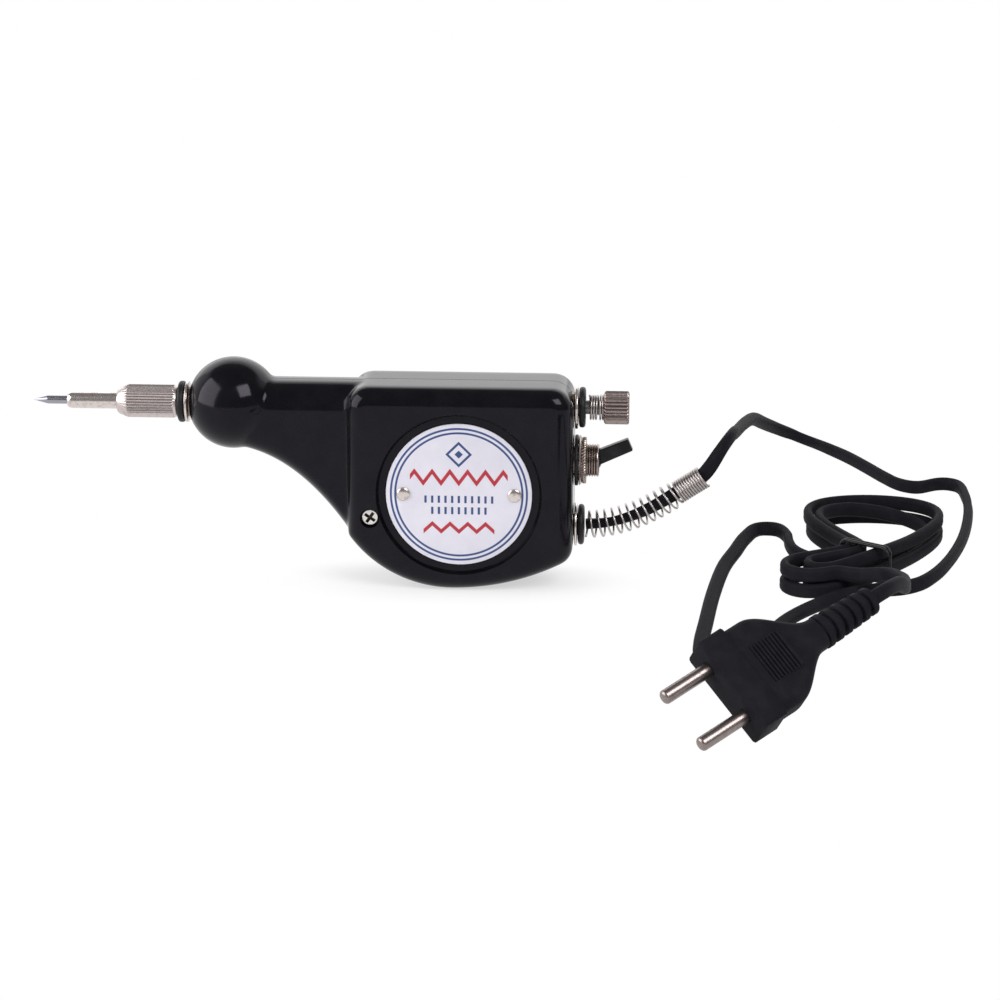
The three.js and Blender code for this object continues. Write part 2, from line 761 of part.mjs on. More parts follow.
function addChuck(group) {
  const outside = turned([
    [nutStart, 0], [nutStart, nutNoseRadius], [nutStart + nutNoseLength, nutRadius],
    [nutEnd - nutBackChamfer, nutRadius], [nutEnd, nutRadius - nutBackChamfer], [nutEnd, 0],
  ], axisHeight, 28);
  const ridges = knurled(
    nutStart - overrun, nutEnd - nutKnurlShort, nutRadius + slip, nutKnurlDepth + slip,
    nutKnurlCount, axisHeight,
  ).add(rod(nutEnd - nutKnurlShort - overrun, nutEnd + overrun, nutRadius - nutKnurlDepth, axisHeight, 28));
  const inside = turned([
    [nutStart - overrun, 0], [nutStart - overrun, shankRadius + gap], [nutCone, shankRadius + gap],
    [nutCone, colletMouthRadius], [nutThread, colletConeRadius + slip],
    [nutThread, spindleThreadRadius + gap], [nutEnd + overrun, spindleThreadRadius + gap],
    [nutEnd + overrun, 0],
  ], axisHeight);
  group.add(node("chuck_nut", finish.nickel, outside.intersect(ridges).subtract(inside)));
  const bore = shankRadius + slip;
  const coneEnd = nutThread - gap;
  let collet = turned([
    [colletStart, bore], [colletStart, colletMouthRadius - gap], [coneEnd, colletConeRadius - gap],
    [coneEnd, colletSleeveRadius], [coneEnd + colletSleeveLength, colletSleeveRadius],
    [coneEnd + colletSleeveLength, bore], [colletStart, bore],
  ], axisHeight);
  for (let i = 0; i < colletSlitCount; i += 1) {
    const slit = new THREE.BoxGeometry(colletSlitDepth + overrun, colletSlitWidth, 2 * colletSleeveRadius);
    slit.translate(colletStart + (colletSlitDepth - overrun) / 2, 0, colletSleeveRadius);
    slit.rotateX((2 * Math.PI * (i + 0.5)) / colletSlitCount);
    slit.translate(0, 0, axisHeight);
    collet = collet.subtract(solid(slit));
  }
  group.add(node("collet", finish.steel, collet));
}

function addSpindle(group) {
  const socket = colletSleeveRadius + gap;
  const socketEnd = nutStart + shankGripped + spindleWebLength;
  const shoulder = nutEnd;
  const seat = rearRubberStart + rearRubberThickness;
  const spindle = turned([
    [spindleStart, socket], [spindleStart, spindleThreadRadius], [shoulder, spindleThreadRadius],
    [shoulder, spindleRadius], [seat, spindleRadius], [seat, studRadius],
    [seat + studLength, studRadius], [seat + studLength, 0], [socketEnd, 0], [socketEnd, socket],
    [spindleStart, socket],
  ], axisHeight);
  group.add(node("spindle", finish.steel, spindle));
  const collar = ring(collarStart, collarEnd, spindleRadius + slip, collarRadius, axisHeight);
  const screwPlace = (collarStart + collarEnd) / 2;
  const hole = new THREE.CylinderGeometry(
    collarScrewRadius + slip, collarScrewRadius + slip, collarRadius, 16,
  );
  hole.rotateX(Math.PI / 2);
  hole.translate(screwPlace, 0, axisHeight + spindleRadius + collarRadius / 2);
  group.add(node("drive_collar", finish.steel, collar.subtract(solid(hole))));
  const grub = new THREE.CylinderGeometry(collarScrewRadius, collarScrewRadius, collarScrewLength, 16);
  grub.rotateX(Math.PI / 2);
  grub.translate(screwPlace, 0, axisHeight + spindleRadius + gap + collarScrewLength / 2);
  group.add(node("collar_screw", finish.steel, solid(grub)));
}

function washer(x, thickness, radius, round) {
  return turned([
    [x, washerHoleRadius], [x, radius - round], [x + round, radius],
    [x + thickness - round, radius], [x + thickness, radius - round],
    [x + thickness, washerHoleRadius], [x, washerHoleRadius],
  ], axisHeight, 24);
}

function addWashersAndBushes(group) {
  const frontRound = frontRubberThickness / 4;
  const rearRound = rearRubberThickness / 3;
  const thinRound = frontMetalThickness / 5;
  group.add(node("front_rubber_washer", finish.rubber,
    washer(frontRubberStart, frontRubberThickness, frontWasherRadius, frontRound)));
  group.add(node("front_metal_washer", finish.nickel,
    washer(frontMetalStart, frontMetalThickness, frontWasherRadius, thinRound)));
  group.add(node("rear_metal_washer", finish.nickel,
    washer(rearMetalStart, rearMetalThickness, rearMetalRadius, thinRound)));
  group.add(node("rear_rubber_washer", finish.rubber,
    washer(rearRubberStart, rearRubberThickness, rearRubberRadius, rearRound)));
  const bore = spindleRadius + slip;
  group.add(node("front_bush", finish.brass,
    ring(frontBushFace, frontBushFace + frontBushLength, bore, frontBushRadius, axisHeight)));
  group.add(node("rear_bush", finish.brass,
    ring(boxRear - rearBushLength, boxRear, bore, rearBushRadius, axisHeight)));
}

// Helix round a centreline: radiusAt and placeAt give the coil radius and the point of the axis at a share
function coil(turns, thickness, centreAt, name) {
  const steps = Math.round(turns * 8);
  const points = Array.from({ length: steps + 1 }, (_, i) => centreAt(i / 8, i / steps));
  const middle = new THREE.Vector3();
  const rings = tubeRings(points, thickness, thickness, 5, (i) => (
    middle.copy(points[i].up)
  ));
  console.log(`${name}: least gap to itself ${leastGap(rings, 8).toFixed(2)} mm`);
  return solid(loft(rings));
}

function addAdjuster(group) {
  const start = returnStart + returnWireRadius;
  const end = returnStart + returnLength - returnWireRadius;
  const spring = coil(returnCurls, returnWireRadius, (turn, share) => {
    const angle = 2 * Math.PI * turn;
    const point = new THREE.Vector3(
      start + (end - start) * share,
      returnCoilRadius * Math.sin(angle),
      axisHeight + returnCoilRadius * Math.cos(angle),
    );
    point.up = new THREE.Vector3(0, Math.sin(angle), Math.cos(angle));
    return point;
  }, "return_spring");
  group.add(node("return_spring", finish.nickel, spring));
  group.add(node("spring_cap", finish.steel,
    ring(capStart, capStart + capThickness, studRadius + gap, capRadius, axisHeight)));
  const outside = turned([
    [knobStart, 0], [knobStart, knobNeckRadius], [knobStart + knobNeckLength, knobRadius],
    [knobEnd - knobEdge, knobRadius], [knobEnd, knobRadius - knobEdge], [knobEnd, 0],
  ], axisHeight, 28);
  const ridges = knurled(
    knobStart - overrun, knobEnd + overrun, knobRadius + slip, knobKnurlDepth + slip,
    knobKnurlCount, axisHeight,
  );
  const bore = rod(knobStart - overrun, knobEnd - knobWeb, studRadius + gap, axisHeight);
  group.add(node("adjuster_knob", finish.nickel, outside.intersect(ridges).subtract(bore)));
}

function addMagnet(group) {
  const outline = new THREE.Shape();
  const legTops = [
    coreBase, coreBase + coreLeg, coreBase + coreLeg + coreWindow,
    coreTop - coreLeg - coreWindow, coreTop - coreLeg, coreTop,
  ];
  const yoke = coreFront + coreYoke;
  outline.moveTo(coreFront, legTops[0]);
  outline.lineTo(coreRear, legTops[0]);
  outline.lineTo(coreRear, legTops[1]);
  outline.lineTo(yoke, legTops[1]);
  outline.lineTo(yoke, legTops[2]);
  outline.lineTo(coreRear, legTops[2]);
  outline.lineTo(coreRear, legTops[3]);
  outline.lineTo(yoke, legTops[3]);
  outline.lineTo(yoke, legTops[4]);
  outline.lineTo(coreRear, legTops[4]);
  outline.lineTo(coreRear, legTops[5]);
  outline.lineTo(coreFront, legTops[5]);
  const half = coreStack / 2;
  let core = plate(outline, -half, half);
  coreScrewHeights.forEach((z, i) => {
    core = core.subtract(crossRod(coreScrewPlace, z, -half - overrun, half + overrun, screwRadius + slip));
    const seat = -half - gap;
    const screw = crossRod(coreScrewPlace, z, seat - coreScrewHeadHeight, seat, coreScrewHeadRadius)
      .add(crossRod(coreScrewPlace, z, seat - slip, half + coreScrewBite, screwRadius));
    group.add(node(`core_screw_${i + 1}`, finish.steel, screw));
  });
  group.add(node("magnet_core", finish.iron, core));
  // Bobbin on the middle leg, and the winding on the bobbin
  const bobbinStart = yoke + gap;
  const bobbinEnd = coreRear - gap;
  const boreY = half + gap;
  const boreZ = coreMiddleLeg / 2 + gap;
  const tubeY = boreY + bobbinWall;
  const tubeZ = boreZ + bobbinWall;
  const flangeZ = coreMiddleLeg / 2 + coreWindow - gap;
  const low = coreMiddle;
  const flange = (x) => block(
    x, x + bobbinFlange, -bobbinHalfDepth, bobbinHalfDepth, low - flangeZ, low + flangeZ,
  );
  const bobbin = block(bobbinStart, bobbinEnd, -tubeY, tubeY, low - tubeZ, low + tubeZ)
    .add(flange(bobbinStart))
    .add(flange(bobbinEnd - bobbinFlange))
    .subtract(block(bobbinStart - overrun, bobbinEnd + overrun, -boreY, boreY, low - boreZ, low + boreZ));
  group.add(node("coil_bobbin", finish.switchBlack, bobbin));
  const coilStart = bobbinStart + bobbinFlange + gap;
  const coilEnd = bobbinEnd - bobbinFlange - gap;
  const winding = block(
    coilStart, coilEnd, -bobbinHalfDepth + coilInset, bobbinHalfDepth - coilInset,
    low - flangeZ + coilInset, low + flangeZ - coilInset,
  ).subtract(block(
    coilStart - overrun, coilEnd + overrun, -tubeY - gap, tubeY + gap, low - tubeZ - gap, low + tubeZ + gap,
  ));
  group.add(node("coil_winding", finish.copper, winding));
}

function addArmature(group) {
  const half = coreStack / 2;
  const rivetHeights = [coreBase + coreLeg / 2, coreTop - coreLeg / 2];
  let faceplate = block(armatureStart, leverStart - gap, -half, half, coreBase, coreTop);
  const forkTop = axisHeight + forkReach;
  const throat = forkThroat;
  let lever = block(leverStart, leverEnd, -leverWidth / 2, leverWidth / 2, pivotHeight, axisHeight - throat)
    .add(block(leverStart, leverEnd, -forkWidth / 2, forkWidth / 2, coreTop, forkTop))
    .subtract(block(
      leverStart - gap, leverEnd + gap, -throat, throat, axisHeight - throat, forkTop + overrun,
    ))
    .add(crossRod(pivotPlace, pivotHeight, -leverWidth / 2, leverWidth / 2, eyeRadius))
    .subtract(crossRod(pivotPlace, pivotHeight, -leverWidth, leverWidth, pinRadius + slip));
  rivetHeights.forEach((z, i) => {
    const hole = rod(armatureStart - overrun, leverEnd + overrun, armatureRivetRadius + slip, z, 16);
    const sink = rod(armatureStart - overrun, armatureStart + armatureRivetHeadHeight + gap,
      armatureRivetHead + slip, z, 16);
    faceplate = faceplate.subtract(hole).subtract(sink);
    lever = lever.subtract(hole);
    const rivet = turned([
      [armatureStart + gap, 0], [armatureStart + gap, armatureRivetHead],
      [armatureStart + armatureRivetHeadHeight, armatureRivetHead],
      [armatureStart + armatureRivetHeadHeight, armatureRivetRadius],
      [leverEnd + gap, armatureRivetRadius], [leverEnd + gap, armatureRivetHead],
      [leverEnd + gap + armatureRivetHeadHeight, armatureRivetHead],
      [leverEnd + gap + armatureRivetHeadHeight, 0],
    ], z, 16);
    group.add(node(`armature_rivet_${i + 1}`, finish.steel, rivet));
  });
  group.add(node("armature_block", finish.iron, faceplate));
  group.add(node("armature_lever", finish.steel, lever));
  const reach = innerHalfWidth - pinEndInset;
  const pin = crossRod(pivotPlace, pivotHeight, -reach, reach, pinRadius);
  group.add(node("armature_pin", finish.steel, pin));
}

function addSwitch(group) {
  const inside = boxRear - wall;
  const plateStart = inside - gap - switchPlateThickness;
  const bodyEnd = plateStart - gap;
  const bodyStart = bodyEnd - switchDepth;
  group.add(node("switch_body", finish.switchBlack, block(
    bodyStart, bodyEnd, -switchHalfWidth, switchHalfWidth,
    switchHeight - switchHalfHeight, switchHeight + switchHalfHeight,
  )));
  const boreStart = plateStart + switchPlateThickness;
  const bush = turned([
    [plateStart, 0], [plateStart, switchPlateRadius], [boreStart, switchPlateRadius],
    [boreStart, bushRadius], [bushEnd, bushRadius], [bushEnd, bushBoreRadius],
    [boreStart, bushBoreRadius], [boreStart, 0],
  ], switchHeight);
  group.add(node("switch_bush", finish.nickel, bush));
  const washerStart = boxRear + gap;
  group.add(node("switch_washer", finish.rubber, ring(
    washerStart, washerStart + switchWasherThickness, bushRadius + gap, switchWasherRadius,
    switchHeight, 28,
  )));
  const nut0 = washerStart + switchWasherThickness + gap;
  const nut1 = nut0 + ringNutThickness;
  const skirt = turned([
    [nut0, bushRadius + slip], [nut0, ringNutSkirtRadius],
    [nut0 + ringNutSkirt, ringNutRadius - ringNutKnurlDepth],
    [nut1, ringNutRadius - ringNutKnurlDepth], [nut1, bushRadius + slip], [nut0, bushRadius + slip],
  ], switchHeight, 24);
  const teeth = knurled(
    nut0 + ringNutSkirt / 2, nut1, ringNutRadius, ringNutKnurlDepth, ringNutKnurlCount, switchHeight,
  ).subtract(rod(nut0, nut1 + overrun, bushRadius + slip, switchHeight));
  group.add(node("switch_ring_nut", finish.nickel, skirt.add(teeth)));
  // Toggle: a ball in the bush, a flat tapered lever outside and a thin tail inside
  const ball = new THREE.SphereGeometry(leverBallRadius, 14, 8);
  const flat = new THREE.Shape();
  flat.moveTo(0, -toggleRootWidth / 2);
  flat.lineTo(toggleReach, -toggleTipWidth / 2);
  flat.lineTo(toggleReach, toggleTipWidth / 2);
  flat.lineTo(0, toggleRootWidth / 2);
  const tail = rod(-toggleTailReach, 0, toggleTailRadius, 0, 12);
  const toggle = solid(ball)
    .add(plate(flat, -toggleThickness / 2, toggleThickness / 2))
    .add(tail);
  const lever = node("switch_lever", finish.switchBlack, toggle);
  lever.position.set(toggleCentre, 0, switchHeight);
  lever.rotation.y = -THREE.MathUtils.degToRad(toggleAngle);
  group.add(lever);
  [-1, 1].forEach((side, i) => {
    const z = switchHeight + (side * terminalSpread) / 2;
    group.add(node(`switch_terminal_${i + 1}`, finish.brass, block(
      bodyStart - gap - terminalLength, bodyStart - gap, -terminalWidth / 2, terminalWidth / 2,
      z - terminalThickness / 2, z + terminalThickness / 2,
    )));
  });
  return bodyStart - gap - terminalLength;
}

// Flat oval section of the cord, by its half sizes along the first normal of the path and across it
function cordShape(halfNormal, halfAcross, sides) {
  const shape = new THREE.Shape();
  for (let k = 0; k < sides; k += 1) {
    const angle = (2 * Math.PI * (k + 0.5)) / sides;
    const point = [halfNormal * Math.cos(angle), halfAcross * Math.sin(angle)];
    if (k === 0) shape.moveTo(...point);
    else shape.lineTo(...point);
  }
  return shape;
}

function sweep(points, shape, steps) {
  const path = new THREE.CatmullRomCurve3(points, false, "centripetal");
  return solid(new THREE.ExtrudeGeometry(shape, { steps, extrudePath: path, bevelEnabled: false }));
}

function addCordEntry(group, terminalX) {
  const washerStart = boxRear + gap;
  group.add(node("cord_washer", finish.nickel, ring(
    washerStart, washerStart + cordWasherThickness, grommetNeckRadius + gap, cordWasherRadius, cordHeight,
  )));
  const neckBack = boxRear - wall;
  group.add(node("cord_grommet", finish.rubber, turned([
    [neckBack, grommetBoreRadius], [neckBack, grommetNeckRadius], [grommetStart, grommetNeckRadius],
    [grommetStart, grommetRadius - grommetRound], [grommetStart + grommetRound, grommetRadius],
    [grommetEnd - grommetRound, grommetRadius], [grommetEnd, grommetRadius - grommetRound],
    [grommetEnd, grommetBoreRadius], [neckBack, grommetBoreRadius],
  ], cordHeight)));
  const stopEnd = neckBack - gap;
  group.add(node("cord_stop", finish.switchBlack, ring(
    stopEnd - cordStopLength, stopEnd, grommetBoreRadius, cordStopRadius, cordHeight,
  )));
  const innerStart = boxRear - innerCordReach;
  const inner = sweep(
    [new THREE.Vector3(innerStart, 0, cordHeight), new THREE.Vector3(grommetEnd, 0, cordHeight)],
    cordShape(cordThickness / 2, cordWidth / 2, 12), 1,
  );
  group.add(node("inner_cord", finish.cord, inner));
  // Three wires, led past the lever along the walls of the casing
  const side = innerHalfWidth - 2 * wireRadius - gap;
  const wireEnd = innerStart - gap;
  const coilBack = coreRear + wireRadius / 2;
  const lowTab = switchHeight - terminalSpread / 2;
  const highTab = switchHeight + terminalSpread / 2;
  const tabEnd = terminalX - gap;
  const strand = cordWidth / 4;
  const at = (x, y, z) => new THREE.Vector3(x, y, z);
  const routes = {
    wire_cord_to_switch: [
      at(wireEnd, -strand, cordHeight), at(wireEnd - 4 * wireRadius, -strand, cordHeight + wireRadius),
      at(tabEnd - wireRadius / 2, -strand, (cordHeight + lowTab) / 2),
      at(tabEnd - wireRadius / 2, -strand / 2, lowTab - 4 * wireRadius),
      at(tabEnd, 0, lowTab - terminalThickness - wireRadius),
    ],
    wire_switch_to_coil: [
      at(tabEnd, 0, highTab + terminalThickness + wireRadius),
      at(tabEnd - wireRadius, -side / 3, highTab + 4 * wireRadius),
      at(leverEnd + 3 * wireRadius, -side, highTab),
      at(leverStart, -side, coreMiddle + coreMiddleLeg / 2),
      at(coilBack, -side, coreMiddle),
    ],
    wire_cord_to_coil: [
      at(wireEnd, strand, cordHeight), at(wireEnd - 4 * wireRadius, 2 * strand, cordHeight),
      at(leverEnd + 3 * wireRadius, side, cordHeight + 2 * wireRadius),
      at(leverStart, side, cordHeight + 4 * wireRadius),
      at(coilBack, side, coreMiddle - coreLeg),
    ],
  };
  Object.entries(routes).forEach(([name, points]) => {
    group.add(node(name, finish.cord, sweep(points, cordShape(wireRadius, wireRadius, 6), 12)));
  });
}

// Axis of the strain-relief spring: level at the grommet, then bending upward
function reliefAxis(length) {
  const steps = 24;
  const start = grommetEnd + 2 * gap - overallLength / 2;
  const points = [new THREE.Vector3(start, 0, cordHeight)];
  const whole = length / steps;
  for (let i = 0; i < steps; i += 1) {
    const share = Math.min(((i + 0.5) * whole) / reliefOpenLength, 1);
    const angle = THREE.MathUtils.degToRad(reliefBend) * (1 - (1 - share) ** reliefBendPower);
    const last = points[points.length - 1];
    points.push(new THREE.Vector3(
      last.x + whole * Math.cos(angle), 0, last.z + whole * Math.sin(angle),
    ));
  }
  return new THREE.CatmullRomCurve3(points);
}

function addRelief(group) {
  const length = reliefOpenLength + reliefCloseLength;
  const axis = reliefAxis(length);
  const curls = reliefOpenCurls + reliefCloseCurls;
  const across = new THREE.Vector3(0, 1, 0);
  const spring = coil(curls, reliefWireRadius, (turn) => {
    const open = Math.min(turn / reliefOpenCurls, 1);
    const close = Math.max((turn - reliefOpenCurls) / reliefCloseCurls, 0);
    const share = (reliefOpenLength * open + reliefCloseLength * close) / length;
    const along = axis.getTangentAt(share);
    const up = across.clone().cross(along).negate();
    const blend = THREE.MathUtils.clamp(turn - reliefOpenCurls + 1, 0, 1);
    const radius = THREE.MathUtils.lerp(reliefOpenCoilRadius, reliefCloseCoilRadius, blend);
    const angle = 2 * Math.PI * turn;
    const out = up.multiplyScalar(Math.cos(angle)).addScaledVector(across, Math.sin(angle));
    const point = axis.getPointAt(share).addScaledVector(out, radius);
    point.up = out;
    return point;
  }, "relief_spring");
  group.add(node("relief_spring", finish.nickel, spring));
}

// The cord's route where it lies free, in the frame of the whole object
const leadRoute = [
  [136.9, 0, 43.8], [140, 1.7, 48.4], [142.7, 6, 51.4], [144.6, 13, 52], [147, 45, 44.8],
  [150.8, 85, 37], [155.2, 125, 27.8], [160.2, 155, 17.8], [166.2, 173, 10.6], [173, 181.5, 5.8],
  [180.4, 180.5, 3.4], [187.7, 171, 2.9], [195, 158.5, 2.9], [201.6, 144.7, 2.9], [208, 130.5, 2.9],
  [213.8, 120.3, 2.9], [220.2, 116.6, 2.9], [226.6, 120.6, 2.9], [231.8, 124.6, 2.9],
  [236.8, 119.4, 2.9], [238.6, 105, 2.9], [238.4, 88, 2.9], [235.8, 64.3, 2.9], [231.8, 42.5, 2.9],
  [225.6, 19.8, 2.9], [219.8, 4.5, 2.9], [213.3, -6.5, 2.9], [206.5, -11.5, 2.9], [198.5, -13.8, 2.9],
  [187.5, -19, 2.9], [174.5, -32.5, 2.9], [163, -51, 2.9], [157, -72, 2.9], [155.2, -87, 2.9],
  [151.8, -96, 2.9], [144.8, -100, 2.9], [137.8, -96, 2.9], [134.4, -87, 2.9], [134.2, -75, 2.9],
  [136, -52, 2.9], [138.8, -20, 2.9], [143, 12, 2.9], [147.2, 30, 2.9], [151.4, 47, 2.9],
  [156.6, 58, 2.9], [163.4, 57, 2.9], [167, 48.5, 2.9], [167.6, 39, 2.9], [169.2, 30, 2.9],
  [173, 22.4, 3.1], [178.2, 16.6, 3.6], [184, 11.3, 4.2],
];
const tailRoute = [
  [190, -17.5, 9.4], [200, -25, 12.2], [204.6, -40, 15.4], [204, -68, 22.5], [201.6, -95, 31],
  [198.4, -109, 36.2],
];

// The hank's axis bends at the waist: its point and its direction at a distance from there
function hankAxis(along) {
  const heading = THREE.MathUtils.degToRad(hankHeading);
  const forward = new THREE.Vector3(Math.cos(heading), Math.sin(heading), 0);
  const aside = new THREE.Vector3(-Math.sin(heading), Math.cos(heading), 0);
  const root = Math.hypot(along, hankBendReach);
  const point = new THREE.Vector3(...hankWaist, 0)
    .addScaledVector(forward, along)
    .addScaledVector(aside, hankBendShare * (root - hankBendReach));
  const tangent = forward.clone().addScaledVector(aside, (hankBendShare * along) / root).normalize();
  return { point, tangent };
}

// Point of the hank's centreline after a number of turns, counted from the right of the waist
function hankPoint(turn) {
  const angle = 2 * Math.PI * turn;
  const smooth = THREE.MathUtils.smoothstep;
  const inward = smooth(turn, ...hankInShares) - smooth(turn, ...hankOutShares);
  const lobe = Math.abs(Math.sin(angle)) ** 1.5;
  const upper = Math.sin(angle) >= 0;
  const shift = inward * (hankWaistStep + hankLobeStep * lobe);
  const reach = (upper ? hankUpperReach : hankLowerReach) - shift;
  const half = hankWaistHalf - shift + (upper ? hankUpperBulge : hankLowerBulge) * lobe;
  const along = reach * Math.sin(angle);
  const { point, tangent } = hankAxis(along);
  const right = new THREE.Vector3(tangent.y, -tangent.x, 0);
  point.addScaledVector(right, half * Math.cos(angle));
  point.z = hankFloor + hankLayer * smooth(turn, ...hankClimbShares)
    + hankLift * Math.exp(-((along / hankLiftReach) ** 2));
  return point;
}

function plugFrame() {
  const along = new THREE.Vector3(...plugAlong).normalize();
  const face = new THREE.Vector3(...plugFace);
  face.addScaledVector(along, -face.dot(along)).normalize();
  const across = face.clone().cross(along);
  return new THREE.Matrix4().makeBasis(along, across, face).setPosition(...plugPlace);
}

function addCord(group) {
  const length = reliefOpenLength + reliefCloseLength;
  const bend = THREE.MathUtils.degToRad(reliefBend);
  const springSteps = 6;
  // The cord lies flat in the spring and leaves it along the upper side of its bore
  const inSpring = reliefAxis(length).getSpacedPoints(springSteps).map((point, i) => {
    const lift = cordRise * (i / springSteps) ** 4;
    return point.add(new THREE.Vector3(-lift * Math.sin(bend), 0, lift * Math.cos(bend)));
  });
  const half = cordThickness / 2;
  const wide = cordWidth / 2;
  const hankStart = hankPoint(hankFrom);
  const hankAhead = hankPoint(hankFrom + 0.01).sub(hankStart).normalize();
  const lead = [
    ...inSpring, ...leadRoute.map((p) => new THREE.Vector3(...p)),
    hankStart.clone().addScaledVector(hankAhead, -gap - hankLeadIn),
    hankStart.clone().addScaledVector(hankAhead, -gap),
  ];
  group.add(node("cord_lead", finish.cord, sweep(lead, cordShape(wide, half, 8), 70)));
  const steps = Math.round(hankTurns * 24);
  const points = Array.from({ length: steps + 1 }, (_, i) => hankPoint(hankFrom + (hankTurns * i) / steps));
  const rings = tubeRings(points, half, wide, 6, () => groundUp);
  console.log(`cord_hank: least gap to itself ${leastGap(rings, 24).toFixed(2)} mm`);
  group.add(node("cord_hank", finish.cord, solid(loft(rings))));
  const hankEnd = points[points.length - 1];
  const endAlong = hankEnd.clone().sub(hankPoint(hankFrom + hankTurns - 0.01)).normalize();
  const plug = plugFrame();
  const plugEnd = plugBodyLength + plugReliefLength;
  const mouth = new THREE.Vector3(plugEnd - plugBoreDepth + gap, 0, 0).applyMatrix4(plug);
  const outside = new THREE.Vector3(plugEnd + cordWidth, 0, 0).applyMatrix4(plug);
  const tail = [
    hankEnd.clone().addScaledVector(endAlong, gap), hankEnd.clone().addScaledVector(endAlong, cordWidth),
    ...tailRoute.map((p) => new THREE.Vector3(...p)), outside, mouth,
  ];
  group.add(node("cord_tail", finish.cord, sweep(tail, cordShape(half, wide, 8), 16)));
  // Tie: a thin wire wound twice round the waist, as a rounded loop
  const { point: waist, tangent: forward } = hankAxis(0);
  const aside = new THREE.Vector3(forward.y, -forward.x, 0);
  const middle = hankFloor + hankLift + hankLayer / 2;
  const across = hankWaistHalf + half + tieEase + tieRadius - tieCorner;
  const tall = hankLayer / 2 + wide + gap + tieRadius - tieCorner;
  const cornerSteps = 5;
  const tiePoints = Array.from({ length: 4 * cornerSteps * tieTurns }, (_, i) => {
    const quarter = Math.floor(i / cornerSteps);
    const angle = ((quarter + (i % cornerSteps) / (cornerSteps - 1)) * Math.PI) / 2;
    const sideways = quarter % 4 === 0 || quarter % 4 === 3 ? across : -across;
    const upward = quarter % 4 < 2 ? tall : -tall;
    return waist.clone()
      .addScaledVector(forward, tiePitch * (i / (4 * cornerSteps) - tieTurns / 2))
      .addScaledVector(aside, sideways + tieCorner * Math.cos(angle))
      .addScaledVector(groundUp, middle + upward + tieCorner * Math.sin(angle));
  });
  const tieRings = tubeRings(tiePoints, tieRadius, tieRadius, 6, () => forward);
  console.log(`hank_tie: least gap to itself ${leastGap(tieRings, 4 * cornerSteps).toFixed(2)} mm`);
  group.add(node("hank_tie", finish.switchBlack, solid(loft(tieRings))));
}

// Half width of the plug's body between its flange and the relief
function plugHalfWidth(x) {
  const share = THREE.MathUtils.clamp((x - plugShoulderPlace) / (plugBodyLength - plugShoulderPlace), 0, 1);
  const ease = 0.5 - 0.5 * Math.cos(Math.PI * share);
  return THREE.MathUtils.lerp(plugShoulderWidth, plugThroatWidth, ease) / 2;
}

function plugSection(x, halfWide, halfThick, edge) {
  const steps = 3;
  const corners = [[1, 1, 0], [-1, 1, 1], [-1, -1, 2], [1, -1, 3]];
  return corners.flatMap(([a, b, quarter]) => Array.from({ length: steps + 1 }, (_, k) => {
    const angle = ((quarter + k / steps) * Math.PI) / 2;
    return new THREE.Vector3(
      x, a * (halfWide - edge) + edge * Math.cos(angle), b * (halfThick - edge) + edge * Math.sin(angle),
    );
  }));
}

